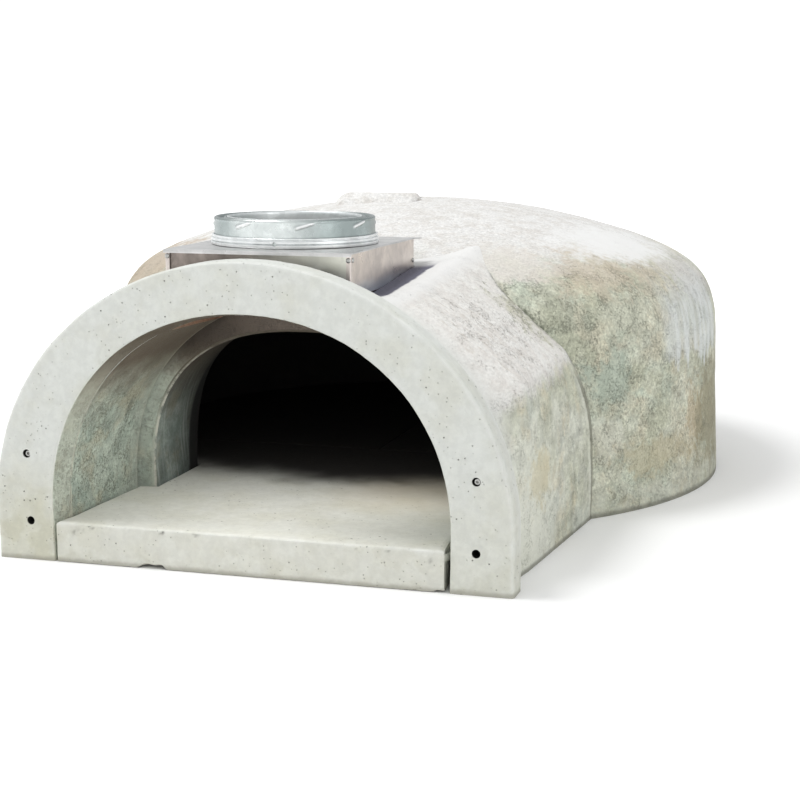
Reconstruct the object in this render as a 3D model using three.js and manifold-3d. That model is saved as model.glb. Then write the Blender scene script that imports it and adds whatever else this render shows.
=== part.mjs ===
// A precast wood-fired pizza oven core: a round concrete dome in two halves, a vent housing
// that joins it to a front arch, a three-piece hearth, and a sheet-metal flue box with a
// twin-wall chimney collar. Millimetres, +Z up, the mouth faces -Y.
import * as THREE from 'three';
import { mergeVertices } from 'three/addons/utils/BufferGeometryUtils.js';
import Module from 'manifold-3d';

const wasm = await Module();
wasm.setup();

// ---- Driving dimensions ---------------------------------------------------------------
// Every y below is measured back from the front face of the arch; the finished group is
// shifted so that the middle of the oven's depth stands on y = 0.

const JOINT = 1.5; // open joint between two castings
const SHEET_GAP = 0.4; // clearance around sheet metal and fasteners
const OVERCUT = 12; // how far a cutting solid runs past what it cuts

const DOME = {
  centreY: 870,
  footRadius: 577.5,
  radius: 570.5,
  height: 499,
  wall: 57,
  roofRadius: 1297,
  shoulderStart: 171,
  shoulderRise: 184,
  roofJoinRadius: 338,
  roofHandle: 249,
  sides: 80,
};
const OVEN_DEPTH = DOME.centreY + DOME.footRadius;

const ARCH_DEPTH = 44;
const ARCH_EDGE = 11; // rounding of the arch's outer front edge

// Arch-shaped outlines: upright legs up to the spring line, a superellipse above it.
const ARCH_OUTER = { foot: 404, halfWidth: 404, spring: 90, rise: 374, power: 1.98 };
const MOUTH_FRONT = { foot: 310.5, halfWidth: 312, spring: 85, rise: 303, power: 2.1 };
const MOUTH_BACK = { foot: 304, halfWidth: 304, spring: 85, rise: 296, power: 2.1 };
const TUNNEL_END = { foot: 293, halfWidth: 293, spring: 85, rise: 291, power: 2.1 };
const THROAT_FRONT = { foot: 266, halfWidth: 266, spring: 85, rise: 240, power: 2.45 };
const THROAT_BACK = { foot: 264, halfWidth: 264, spring: 85, rise: 246, power: 2.45 };
const RING_OUTER = { foot: 343, halfWidth: 343, spring: 85, rise: 292, power: 2.1 };

const TUNNEL_LENGTH = 258; // back end of the gallery behind the mouth
const RING_FRONT = TUNNEL_LENGTH + 8; // front face of the dome's throat ring
const THROAT_END = 420;

// Vent housing section: a side wall that leans in, a sloping facet and a roof that dips
// between the two ridges.
const HOUSING = {
  front: { foot: 384, halfWidth: 388, spring: 90, rise: 362, power: 1.98 },
  footWidthFront: 384,
  footSpread: 0.0875, // growth of the half-width at the floor per millimetre of depth
  facetLow: [388, 272],
  facetLowSlope: [-0.012, 0.028],
  facetHigh: [208, 403],
  facetHighSlope: [0, 0.078],
  facetBulge: 8,
  roofDip: 10.5, // how far the roof sinks between its two ridges
  roofEase: 6, // power of the curve that takes it down
  sideLean: 4, // power of the curve that leans the side wall in
  blendDepth: 110, // distance over which the arch outline turns into the faceted one
  back: 600,
};

const HEARTH = {
  thickness: 62,
  edge: 5,
  gapLeft: 4.5,
  gapRight: 8,
  throatGap: 5,
  domeGap: 6,
  seamY: 640,
  seam: 1.5,
};

const ANCHOR = { holeRadius: 6.5, reach: 120 };
const anchorPlaces = {
  lower_left: [-349, 61],
  lower_right: [349, 61],
  upper_left: [-351.5, 164.6],
  upper_right: [349, 164.6],
};
const ANCHOR_BOLT = { radius: 6, head: 6, length: 105, socketRadius: 3.2, socketDepth: 14 };

const BOSS = { y: 815, radius: 37.5, top: 512, left: -128, right: 28, taper: 17, tip: 25 };

const FLUE_BOX = {
  halfWidth: 145,
  front: 68,
  back: 387,
  seat: 404,
  top: 469,
  sheet: 2,
  cornerFlange: 7,
  plateLip: 1.5,
  plateTail: 40,
  hem: 6,
};
const FLUE_SKIRT = { halfWidth: 140, front: 73, back: 256.5, bottom: 343, top: 440 };
const FLUE_OPENING_GAP = 1;
const GALLERY_MID_HEIGHT = 260;

const COLLAR = {
  y: 231,
  linerRadius: 101.6,
  casingRadius: 123.7,
  baseRadius: 129,
  top: 514.5,
  baseTop: 484.5,
  sheet: 2,
  linerBottom: 452,
  sides: 64,
  shoulder: 4,
  screwHoleRadius: 2.4,
  screwHoleHeight: 475.5,
  screwHoleTurn: THREE.MathUtils.degToRad(6),
};

const RIVET = { headRadius: 4, headHeight: 2, shankRadius: 1.8, shankLength: 6, sides: 12 };
const RIVET_HEIGHT = 458;
const REAR_RIVET_HEIGHT = 433;
const RIVET_INSET = 8;

// ---- Solid helpers --------------------------------------------------------------------

function toSolid(geometry) {
  const bare = geometry.clone();
  bare.deleteAttribute('normal');
  bare.deleteAttribute('uv');
  const merged = mergeVertices(bare, 1e-3);
  const corners = merged.index.array;
  const triangles = [];
  for (let i = 0; i < corners.length; i += 3) {
    const [a, b, c] = [corners[i], corners[i + 1], corners[i + 2]];
    if (a !== b && b !== c && c !== a) triangles.push(a, b, c);
  }
  const vertProperties = new Float32Array(merged.attributes.position.array);
  const wind = (list) => {
    const triVerts = new Uint32Array(list);
    return new wasm.Manifold(new wasm.Mesh({ numProp: 3, vertProperties, triVerts }));
  };
  const solid = wind(triangles);
  if (solid.volume() > 0) return solid;
  return wind(triangles.reverse());
}

function toGeometry(solid) {
  const mesh = solid.getMesh();
  const positions = new Float32Array(mesh.numVert * 3);
  for (let i = 0; i < mesh.numVert; i += 1) {
    for (let k = 0; k < 3; k += 1) {
      positions[3 * i + k] = mesh.vertProperties[mesh.numProp * i + k];
    }
  }
  const geometry = new THREE.BufferGeometry();
  geometry.setAttribute('position', new THREE.BufferAttribute(positions, 3));
  geometry.setIndex(new THREE.BufferAttribute(new Uint32Array(mesh.triVerts), 1));
  geometry.computeVertexNormals();
  return geometry;
}

function box(x0, x1, y0, y1, z0, z1) {
  const geometry = new THREE.BoxGeometry(x1 - x0, y1 - y0, z1 - z0);
  geometry.translate((x0 + x1) / 2, (y0 + y1) / 2, (z0 + z1) / 2);
  return toSolid(geometry);
}

// A round bar or a cone frustum along an axis, from one end point to the other.
function bar(from, to, radiusFrom, radiusTo, sides) {
  const start = new THREE.Vector3(...from);
  const end = new THREE.Vector3(...to);
  const along = end.clone().sub(start);
  const geometry = new THREE.CylinderGeometry(radiusTo, radiusFrom, along.length(), sides);
  const up = new THREE.Vector3(0, 1, 0);
  const turn = new THREE.Quaternion().setFromUnitVectors(up, along.clone().normalize());
  geometry.applyQuaternion(turn);
  const middle = start.add(end).multiplyScalar(0.5);
  geometry.translate(middle.x, middle.y, middle.z);
  return toSolid(geometry);
}

// A solid of revolution about the upright line x = 0, y = centreY; points are [radius, z].
function revolve(points, centreY, sides) {
  const profile = points.map(([r, z]) => new THREE.Vector2(r, z));
  const geometry = new THREE.LatheGeometry(profile, sides);
  geometry.rotateX(Math.PI / 2);
  geometry.translate(0, centreY, 0);
  return toSolid(geometry);
}

// A solid skinned over outlines that stand in upright planes one behind another. Each
// outline is a list of [x, z] points, all of one length.
function loft(stations, outlineAt) {
  const outlines = stations.map((y) => outlineAt(y));
  const count = outlines[0].length;
  const positions = [];
  outlines.forEach((outline, row) => {
    outline.forEach(([x, z]) => positions.push(x, stations[row], z));
  });
  const indices = [];
  for (let row = 0; row + 1 < outlines.length; row += 1) {
    for (let i = 0; i < count; i += 1) {
      const next = (i + 1) % count;
      const [a, b] = [row * count + i, row * count + next];
      const [c, d] = [a + count, b + count];
      indices.push(a, d, b, a, c, d);
    }
  }
  const cap = (row, flip) => {
    const flat = outlines[row].map(([x, z]) => new THREE.Vector2(x, z));
    const offset = row * count;
    THREE.ShapeUtils.triangulateShape(flat, []).forEach(([i, j, k]) => {
      const area = (flat[j].x - flat[i].x) * (flat[k].y - flat[i].y)
        - (flat[k].x - flat[i].x) * (flat[j].y - flat[i].y);
      const outward = flip ? area < 0 : area > 0;
      indices.push(offset + i, offset + (outward ? j : k), offset + (outward ? k : j));
    });
  };
  cap(0, false);
  cap(outlines.length - 1, true);
  const geometry = new THREE.BufferGeometry();
  geometry.setAttribute('position', new THREE.Float32BufferAttribute(positions, 3));
  geometry.setIndex(indices);
  return toSolid(geometry);
}

// A flat slab cut to a plan outline, with rounded edges, lying between z = 0 and its top.
function slab(shape, thickness, edge, curveSegments) {
  const geometry = new THREE.ExtrudeGeometry(shape, {
    depth: thickness - 2 * edge,
    bevelEnabled: true,
    bevelSize: edge,
    bevelOffset: -edge,
    bevelThickness: edge,
    bevelSegments: 2,
    curveSegments,
  });
  geometry.translate(0, 0, edge);
  return toSolid(geometry);
}

// ---- Outlines -------------------------------------------------------------------------

const mix = THREE.MathUtils.lerp;

function mixArches(a, b, share) {
  const mixed = {};
  Object.keys(a).forEach((key) => {
    mixed[key] = mix(a[key], b[key], share);
  });
  return mixed;
}

function grow(arch, by) {
  return {
    ...arch,
    foot: arch.foot + by,
    halfWidth: arch.halfWidth + by,
    rise: arch.rise + by,
  };
}

function archPoint(arch, angle) {
  const across = Math.max(Math.cos(angle), 0) ** (2 / arch.power);
  const up = Math.sin(angle) ** (2 / arch.power);
  return [arch.halfWidth * across, arch.spring + arch.rise * up];
}

function mirrored(half) {
  const left = half.slice(0, -1).reverse().map(([x, z]) => [-x, z]);
  return [...half, ...left];
}

const ARCH_STEPS = 22;

function archOutline(arch, bottom) {
  const half = [[arch.foot, bottom]];
  for (let i = 0; i <= ARCH_STEPS; i += 1) {
    half.push(archPoint(arch, (Math.PI / 2) * (i / ARCH_STEPS)));
  }
  half[half.length - 1][0] = 0;
  return mirrored(half);
}

// The angle at which an arch outline reaches a given half-width above its spring line.
function angleAtWidth(arch, x) {
  return Math.acos((x / arch.halfWidth) ** (arch.power / 2));
}

const SIDE_STEPS = 9;
const FACET_STEPS = 7;
const ROOF_STEPS = 7;
const FACET_LOW_ANGLE = THREE.MathUtils.degToRad(30);

function housingOutline(y, inset) {
  const arch = grow(HOUSING.front, -inset);
  const depth = y - ARCH_DEPTH;
  const low = HOUSING.facetLow.map((v, k) => v + HOUSING.facetLowSlope[k] * depth);
  const high = HOUSING.facetHigh.map((v, k) => v + HOUSING.facetHighSlope[k] * depth);
  const foot = HOUSING.footWidthFront + HOUSING.footSpread * depth;
  const highAngle = angleAtWidth(arch, HOUSING.facetHigh[0]);
  const share = THREE.MathUtils.smoothstep(depth, 0, HOUSING.blendDepth);
  const half = [];
  const add = ([archX, archZ], [x, z]) => {
    half.push([mix(archX, x, share), mix(archZ, z, share)]);
  };
  for (let i = 0; i < SIDE_STEPS; i += 1) {
    const t = i / SIDE_STEPS;
    const onArch = i === 0 ? [arch.foot, 0] : archPoint(arch, FACET_LOW_ANGLE * (i - 1) / (SIDE_STEPS - 1));
    const z = low[1] * t;
    add(onArch, [foot - (foot - low[0]) * t ** HOUSING.sideLean, z]);
  }
  const across = new THREE.Vector2(high[0] - low[0], high[1] - low[1]);
  const out = new THREE.Vector2(across.y, -across.x).normalize();
  for (let i = 0; i <= FACET_STEPS; i += 1) {
    const t = i / FACET_STEPS;
    const bulge = 4 * HOUSING.facetBulge * t * (1 - t);
    add(
      archPoint(arch, mix(FACET_LOW_ANGLE, highAngle, t)),
      [low[0] + across.x * t + out.x * bulge, low[1] + across.y * t + out.y * bulge],
    );
  }
  for (let i = 1; i <= ROOF_STEPS; i += 1) {
    const t = i / ROOF_STEPS;
    const x = high[0] * (1 - t);
    add(
      archPoint(arch, mix(highAngle, Math.PI / 2, t)),
      [x, high[1] - HOUSING.roofDip * (1 - (1 - t) ** HOUSING.roofEase)],
    );
  }
  half[half.length - 1][0] = 0;
  return mirrored(half);
}

// The dome's profile as [radius, z] points from the floor to the crown, moved inwards by inset.
const SHOULDER_STEPS = 10;
const ROOF_ARC_STEPS = 5;

function domeProfile(inset, bottom) {
  const roofCentre = DOME.height - DOME.roofRadius;
  const joinAngle = Math.asin(DOME.roofJoinRadius / DOME.roofRadius);
  const joinHeight = roofCentre + DOME.roofRadius * Math.cos(joinAngle);
  const shoulder = new THREE.CubicBezierCurve(
    new THREE.Vector2(DOME.radius, DOME.shoulderStart),
    new THREE.Vector2(DOME.radius, DOME.shoulderStart + DOME.shoulderRise),
    new THREE.Vector2(
      DOME.roofJoinRadius + DOME.roofHandle * Math.cos(joinAngle),
      joinHeight - DOME.roofHandle * Math.sin(joinAngle),
    ),
    new THREE.Vector2(DOME.roofJoinRadius, joinHeight),
  );
  const slope = (DOME.footRadius - DOME.radius) / DOME.shoulderStart;
  const points = [[0, bottom], [DOME.footRadius - inset - slope * bottom, bottom]];
  for (let i = 0; i <= SHOULDER_STEPS; i += 1) {
    const p = shoulder.getPoint(i / SHOULDER_STEPS);
    const d = shoulder.getTangent(i / SHOULDER_STEPS);
    points.push([p.x - d.y * inset, p.y + d.x * inset]);
  }
  for (let i = 1; i <= ROOF_ARC_STEPS; i += 1) {
    const angle = joinAngle * (1 - i / ROOF_ARC_STEPS);
    const radius = DOME.roofRadius - inset;
    points.push([radius * Math.sin(angle), roofCentre + radius * Math.cos(angle)]);
  }
  return points;
}

// ---- Castings -------------------------------------------------------------------------

function domeSolid(inset, bottom) {
  return revolve(domeProfile(inset, bottom), DOME.centreY, DOME.sides);
}

function tunnelCut(from, to, front, back) {
  const stations = [from, to];
  return loft(stations, (y) => {
    const share = (y - from) / (to - from);
    return archOutline(mixArches(front, back, share), -OVERCUT);
  });
}

function anchorHoles(from, to) {
  const { holeRadius } = ANCHOR;
  return Object.values(anchorPlaces)
    .map(([x, z]) => bar([x, from, z], [x, to, z], holeRadius, holeRadius, 16))
    .reduce((all, hole) => all.add(hole));
}

function frontArch() {
  const stations = [];
  const roundSteps = 4;
  for (let i = 0; i <= roundSteps; i += 1) {
    stations.push(ARCH_EDGE * (1 - Math.cos((Math.PI / 2) * (i / roundSteps))));
  }
  stations.push(ARCH_DEPTH);
  const outer = loft(stations, (y) => {
    const reach = Math.min(y / ARCH_EDGE, 1);
    const inset = ARCH_EDGE - ARCH_EDGE * Math.sqrt(1 - (1 - reach) ** 2);
    return archOutline(grow(ARCH_OUTER, -inset), 0);
  });
  const mouth = loft([-OVERCUT, 0, ARCH_DEPTH, ARCH_DEPTH + OVERCUT], (y) => {
    const share = THREE.MathUtils.clamp(y / ARCH_DEPTH, 0, 1);
    return archOutline(mixArches(MOUTH_FRONT, MOUTH_BACK, share), -OVERCUT);
  });
  return outer.subtract(mouth).subtract(anchorHoles(-OVERCUT, ARCH_DEPTH + OVERCUT));
}

function ventHousing() {
  const front = ARCH_DEPTH + JOINT;
  const stations = [front, 56, 68, 82, 96, 110, 130, 152, 210, 280, 350, 420, 500, HOUSING.back];
  const shell = loft(stations, (y) => housingOutline(y, 0));
  const tunnel = loft([front - OVERCUT, front, TUNNEL_LENGTH + OVERCUT], (y) => {
    const share = Math.max(y - front, 0) / (TUNNEL_LENGTH - front);
    return archOutline(mixArches(MOUTH_BACK, TUNNEL_END, share), -OVERCUT);
  });
  const pocket = grow(RING_OUTER, JOINT);
  const ringPocket = tunnelCut(TUNNEL_LENGTH, HOUSING.back + OVERCUT, pocket, pocket);
  const flueOpening = box(
    -FLUE_SKIRT.halfWidth - FLUE_OPENING_GAP,
    FLUE_SKIRT.halfWidth + FLUE_OPENING_GAP,
    FLUE_SKIRT.front - FLUE_OPENING_GAP,
    TUNNEL_LENGTH,
    GALLERY_MID_HEIGHT,
    FLUE_BOX.seat + OVERCUT,
  );
  const boxPocket = box(
    -FLUE_BOX.halfWidth - FLUE_OPENING_GAP,
    FLUE_BOX.halfWidth + FLUE_OPENING_GAP,
    FLUE_BOX.front - FLUE_OPENING_GAP,
    FLUE_BOX.back + FLUE_OPENING_GAP,
    FLUE_BOX.seat,
    DOME.height,
  );
  return shell
    .subtract(domeSolid(-JOINT, -OVERCUT))
    .subtract(tunnel)
    .subtract(ringPocket)
    .subtract(flueOpening)
    .subtract(boxPocket)
    .subtract(anchorHoles(front - OVERCUT, ANCHOR.reach));
}

function crownBoss() {
  const axisHeight = BOSS.top - BOSS.radius;
  const shoulder = BOSS.left + BOSS.taper;
  const straight = bar(
    [shoulder, BOSS.y, axisHeight],
    [BOSS.right, BOSS.y, axisHeight],
    BOSS.radius,
    BOSS.radius,
    32,
  );
  const sloped = bar(
    [BOSS.left, BOSS.y, axisHeight],
    [shoulder + 1, BOSS.y, axisHeight],
    BOSS.tip,
    BOSS.radius,
    32,
  );
  return straight.add(sloped);
}

function domeHalves() {
  const insideCavity = DOME.centreY - DOME.roofJoinRadius;
  const throat = loft([RING_FRONT - OVERCUT, RING_FRONT, THROAT_END, insideCavity], (y) => {
    const share = THREE.MathUtils.clamp((y - RING_FRONT) / (THROAT_END - RING_FRONT), 0, 1);
    return archOutline(mixArches(THROAT_FRONT, THROAT_BACK, share), -OVERCUT);
  });
  const ring = loft([RING_FRONT, insideCavity], () => archOutline(RING_OUTER, 0));
  const cavity = domeSolid(DOME.wall, -OVERCUT);
  const whole = domeSolid(0, 0).add(ring).add(crownBoss()).subtract(cavity).subtract(throat);
  const reach = DOME.footRadius + OVERCUT;
  const half = JOINT / 2;
  const above = BOSS.top + OVERCUT;
  const rearCut = box(-reach, reach, DOME.centreY - half, DOME.centreY + reach, -OVERCUT, above);
  const frontCut = box(-reach, reach, 0, DOME.centreY + half, -OVERCUT, above);
  return { front: whole.subtract(rearCut), rear: whole.subtract(frontCut) };
}

// ---- Hearth ---------------------------------------------------------------------------

function hearthFront() {
  const radius = DOME.radius - DOME.wall - HEARTH.domeGap;
  const edgeY = HEARTH.seamY - HEARTH.seam / 2;
  const throatHalf = THROAT_BACK.halfWidth - HEARTH.throatGap;
  const stepY = TUNNEL_LENGTH - 2;
  const seamAngle = Math.asin((DOME.centreY - edgeY) / radius);
  const throatAngle = Math.acos(throatHalf / radius);
  const shape = new THREE.Shape();
  shape.moveTo(-MOUTH_FRONT.foot + HEARTH.gapLeft, 0);
  shape.lineTo(MOUTH_FRONT.foot - HEARTH.gapRight, 0);
  shape.lineTo(MOUTH_BACK.foot - HEARTH.gapRight, ARCH_DEPTH);
  shape.lineTo(TUNNEL_END.foot - HEARTH.gapRight, stepY);
  shape.lineTo(throatHalf, stepY);
  shape.absarc(0, DOME.centreY, radius, -throatAngle, -seamAngle, false);
  shape.absarc(0, DOME.centreY, radius, Math.PI + seamAngle, Math.PI + throatAngle, false);
  shape.lineTo(-throatHalf, stepY);
  shape.lineTo(-TUNNEL_END.foot + HEARTH.gapLeft, stepY);
  shape.lineTo(-MOUTH_BACK.foot + HEARTH.gapLeft, ARCH_DEPTH);
  return slab(shape, HEARTH.thickness, HEARTH.edge, 6);
}

function hearthRear(side) {
  const radius = DOME.radius - DOME.wall - HEARTH.domeGap;
  const edgeY = HEARTH.seamY + HEARTH.seam / 2;
  const seamAngle = Math.asin((DOME.centreY - edgeY) / radius);
  const middle = HEARTH.seam / 2;
  const middleAngle = Math.acos(middle / radius);
  const shape = new THREE.Shape();
  shape.moveTo(middle, edgeY);
  shape.lineTo(radius * Math.cos(seamAngle), edgeY);
  shape.absarc(0, DOME.centreY, radius, -seamAngle, middleAngle, false);
  const half = slab(shape, HEARTH.thickness, HEARTH.edge, 12);
  return side > 0 ? half : half.mirror([1, 0, 0]);
}

// ---- Flue box -------------------------------------------------------------------------

const panelTop = FLUE_BOX.top - FLUE_BOX.sheet - SHEET_GAP;
const panelBottom = FLUE_BOX.seat + SHEET_GAP;

// Rivet places as [x, y, z, outward x, outward y]: one row below the plate's edge, with the
// rear pair set lower down.
const rivetPlaces = {
  rivet_front_left: [-FLUE_BOX.halfWidth + FLUE_BOX.cornerFlange / 2, FLUE_BOX.front, RIVET_HEIGHT, 0, -1],
  rivet_front_right: [FLUE_BOX.halfWidth - FLUE_BOX.cornerFlange / 2, FLUE_BOX.front, RIVET_HEIGHT, 0, -1],
  rivet_left_front: [-FLUE_BOX.halfWidth, FLUE_BOX.front + RIVET_INSET, RIVET_HEIGHT, -1, 0],
  rivet_left_rear: [-FLUE_BOX.halfWidth, FLUE_BOX.back - RIVET_INSET, REAR_RIVET_HEIGHT, -1, 0],
  rivet_right_front: [FLUE_BOX.halfWidth, FLUE_BOX.front + RIVET_INSET, RIVET_HEIGHT, 1, 0],
  rivet_right_rear: [FLUE_BOX.halfWidth, FLUE_BOX.back - RIVET_INSET, REAR_RIVET_HEIGHT, 1, 0],
};

function rivet([x, y, z, outX, outY]) {
  const at = (distance) => [x + outX * distance, y + outY * distance, z];
  const base = SHEET_GAP;
  const brim = base + RIVET.headHeight / 2;
  const crown = base + RIVET.headHeight;
  const { headRadius, shankRadius, sides } = RIVET;
  const shank = bar(at(base - RIVET.shankLength), at(brim), shankRadius, shankRadius, sides);
  const disc = bar(at(base), at(brim), headRadius, headRadius * 0.9, sides);
  const dome = bar(at(brim), at(crown), headRadius * 0.9, headRadius * 0.4, sides);
  return shank.add(disc).add(dome);
}

function rivetHole([x, y, z, outX, outY]) {
  const at = (distance) => [x + outX * distance, y + outY * distance, z];
  const radius = RIVET.shankRadius + SHEET_GAP;
  return bar(at(-2 * RIVET.shankLength), at(OVERCUT), radius, radius, RIVET.sides);
}

function withRivetHoles(panel) {
  return Object.values(rivetPlaces).reduce((rest, place) => rest.subtract(rivetHole(place)), panel);
}

function sidePanel(side) {
  const { halfWidth, front, back, sheet, cornerFlange } = FLUE_BOX;
  const wall = box(halfWidth - sheet, halfWidth, front, back, panelBottom, panelTop);
  const inner = halfWidth - cornerFlange;
  const frontFlange = box(inner, halfWidth, front, front + sheet, panelBottom, panelTop);
  const backFlange = box(inner, halfWidth, back - sheet, back, panelBottom, panelTop);
  const panel = wall.add(frontFlange).add(backFlange);
  return withRivetHoles(side > 0 ? panel : panel.mirror([1, 0, 0]));
}

function crossPanel(y) {
  const reach = FLUE_BOX.halfWidth - FLUE_BOX.sheet - SHEET_GAP;
  return withRivetHoles(box(-reach, reach, y, y + FLUE_BOX.sheet, panelBottom, panelTop));
}

function fluePlate() {
  const reach = FLUE_BOX.halfWidth + FLUE_BOX.plateLip;
  const front = FLUE_BOX.front - FLUE_BOX.plateLip - FLUE_BOX.sheet;
  const back = FLUE_BOX.back + FLUE_BOX.plateTail;
  const bottom = FLUE_BOX.top - FLUE_BOX.sheet;
  const plate = box(-reach, reach, front, back, bottom, FLUE_BOX.top);
  const hem = box(-reach, reach, front, front + FLUE_BOX.sheet, FLUE_BOX.top - FLUE_BOX.hem, FLUE_BOX.top);
  const holeRadius = COLLAR.linerRadius + COLLAR.sheet + SHEET_GAP;
  const hole = bar(
    [0, COLLAR.y, bottom - OVERCUT],
    [0, COLLAR.y, FLUE_BOX.top + OVERCUT],
    holeRadius,
    holeRadius,
    COLLAR.sides,
  );
  return plate.add(hem).subtract(hole);
}

function flueSkirt() {
  const { halfWidth, front, back, bottom, top } = FLUE_SKIRT;
  const sheet = FLUE_BOX.sheet;
  const sleeve = box(-halfWidth, halfWidth, front, back, bottom, top);
  const bore = box(
    -halfWidth + sheet,
    halfWidth - sheet,
    front + sheet,
    back - sheet,
    bottom - OVERCUT,
    top + OVERCUT,
  );
  const gallery = loft([ARCH_DEPTH, back - sheet], (y) => {
    const share = (y - ARCH_DEPTH) / (TUNNEL_LENGTH - ARCH_DEPTH);
    return archOutline(mixArches(MOUTH_BACK, TUNNEL_END, share), -OVERCUT);
  });
  return sleeve.subtract(bore).subtract(gallery);
}

// ---- Chimney collar -------------------------------------------------------------------

function collarRing(points) {
  return revolve([...points, points[0]], COLLAR.y, COLLAR.sides);
}

function collarBase() {
  const inner = COLLAR.casingRadius + SHEET_GAP;
  const bottom = FLUE_BOX.top + SHEET_GAP;
  const outer = COLLAR.baseRadius;
  const ring = collarRing([
    [inner, bottom],
    [outer - 1, bottom],
    [outer, bottom + 1],
    [outer, COLLAR.baseTop - 2],
    [outer - 2, COLLAR.baseTop],
    [inner, COLLAR.baseTop],
  ]);
  const turn = COLLAR.screwHoleTurn;
  const at = (r) => [r * Math.sin(turn), COLLAR.y - r * Math.cos(turn), COLLAR.screwHoleHeight];
  const radius = COLLAR.screwHoleRadius;
  return ring.subtract(bar(at(inner - OVERCUT), at(outer + OVERCUT), radius, radius, 12));
}

function collarCasing() {
  const { casingRadius, linerRadius, sheet, shoulder, top } = COLLAR;
  const bottom = FLUE_BOX.top + SHEET_GAP;
  const flangeInner = linerRadius + sheet + SHEET_GAP;
  return collarRing([
    [casingRadius, bottom],
    [casingRadius, top - shoulder],
    [casingRadius - shoulder * 0.3, top - shoulder * 0.3],
    [casingRadius - shoulder, top],
    [flangeInner, top],
    [flangeInner, top - sheet],
    [casingRadius - shoulder, top - sheet],
    [casingRadius - sheet, top - shoulder - 1],
    [casingRadius - sheet, bottom],
  ]);
}

function collarLiner() {
  const { linerRadius, sheet, top, linerBottom } = COLLAR;
  return collarRing([
    [linerRadius, linerBottom],
    [linerRadius + sheet, linerBottom],
    [linerRadius + sheet, top - 1],
    [linerRadius + sheet - 0.5, top],
    [linerRadius + 0.5, top],
    [linerRadius, top - 1],
  ]);
}

// ---- Fasteners ------------------------------------------------------------------------

function anchorBolt([x, z]) {
  const { radius, head, length, socketRadius, socketDepth } = ANCHOR_BOLT;
  const shank = bar([x, head, z], [x, length, z], radius, radius, 16);
  const socket = bar([x, head - OVERCUT, z], [x, head + socketDepth, z], socketRadius, socketRadius, 6);
  return shank.subtract(socket);
}

// ---- Materials ------------------------------------------------------------------------

function material(color, roughness, metalness) {
  return new THREE.MeshStandardMaterial({ color, roughness, metalness });
}

const paleConcrete = material(0xd6d8d3, 0.85, 0);
const roughConcrete = material(0xb9b8ab, 0.95, 0);
const hearthConcrete = material(0xd2d3cc, 0.85, 0);
const galvanised = material(0xb4bdc4, 0.35, 0.9);
const stainless = material(0xa89c96, 0.3, 0.9);
const boltSteel = material(0xc9ccd0, 0.3, 1);

// ---- Assembly -------------------------------------------------------------------------

const oven = new THREE.Group();
oven.position.y = -OVEN_DEPTH / 2;

function add(name, solid, finish) {
  const mesh = new THREE.Mesh(toGeometry(solid), finish);
  mesh.name = name;
  oven.add(mesh);
}

const dome = domeHalves();

add('front_arch', frontArch(), paleConcrete);
add('vent_housing', ventHousing(), roughConcrete);
add('dome_front', dome.front, roughConcrete);
add('dome_rear', dome.rear, roughConcrete);
add('hearth_front', hearthFront(), hearthConcrete);
add('hearth_rear_left', hearthRear(-1), hearthConcrete);
add('hearth_rear_right', hearthRear(1), hearthConcrete);
add('flue_box_left_panel', sidePanel(-1), stainless);
add('flue_box_right_panel', sidePanel(1), stainless);
add('flue_box_front_panel', crossPanel(FLUE_BOX.front + FLUE_BOX.sheet + SHEET_GAP), stainless);
add('flue_box_rear_panel', crossPanel(FLUE_BOX.back - 2 * FLUE_BOX.sheet - SHEET_GAP), stainless);
add('flue_box_top_plate', fluePlate(), galvanised);
add('flue_skirt', flueSkirt(), stainless);
add('collar_base_ring', collarBase(), galvanised);
add('collar_casing', collarCasing(), galvanised);
add('collar_liner', collarLiner(), galvanised);
add('anchor_bolt_left', anchorBolt(anchorPlaces.upper_left), boltSteel);
add('anchor_bolt_right', anchorBolt(anchorPlaces.upper_right), boltSteel);
Object.entries(rivetPlaces).forEach(([name, place]) => add(name, rivet(place), boltSteel));

export default oven;
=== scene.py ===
import math

import bpy
import numpy as np
from mathutils import Matrix, Vector, noise


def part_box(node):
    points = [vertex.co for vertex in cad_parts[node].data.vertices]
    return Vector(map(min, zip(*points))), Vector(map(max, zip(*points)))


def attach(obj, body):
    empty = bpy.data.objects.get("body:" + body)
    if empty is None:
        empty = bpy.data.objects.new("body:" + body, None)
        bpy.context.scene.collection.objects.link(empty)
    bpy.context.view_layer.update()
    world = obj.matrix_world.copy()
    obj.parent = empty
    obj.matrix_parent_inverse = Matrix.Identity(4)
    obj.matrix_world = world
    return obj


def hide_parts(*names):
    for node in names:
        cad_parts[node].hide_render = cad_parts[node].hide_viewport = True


# Looks for a precast pizza oven core. Shapes are given in millimetres in the oven's own
# coordinates: x across, y back from the arch's front face, z up from the floor. to_row()
# turns them into the frame's metres.

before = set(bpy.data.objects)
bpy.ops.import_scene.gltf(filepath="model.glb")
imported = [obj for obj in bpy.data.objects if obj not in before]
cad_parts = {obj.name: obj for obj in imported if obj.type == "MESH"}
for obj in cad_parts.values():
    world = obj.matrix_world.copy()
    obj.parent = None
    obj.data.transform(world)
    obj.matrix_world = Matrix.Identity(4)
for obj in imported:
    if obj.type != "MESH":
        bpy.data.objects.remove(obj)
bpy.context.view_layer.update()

MM = 0.001
FACE_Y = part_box("front_arch")[0][1]
BODY = "root"


def to_row(points):
    """Millimetres behind the arch's face to metres in the row frame."""
    row = np.array(points, dtype=float) * MM
    row[..., 1] += FACE_Y
    return row


# ---- Sizes ----

JOINT = 1.5
OVERCUT = 14.0
FACE_SETBACK = 0.5  # keeps the roughened front faces inside the overall depth

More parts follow.
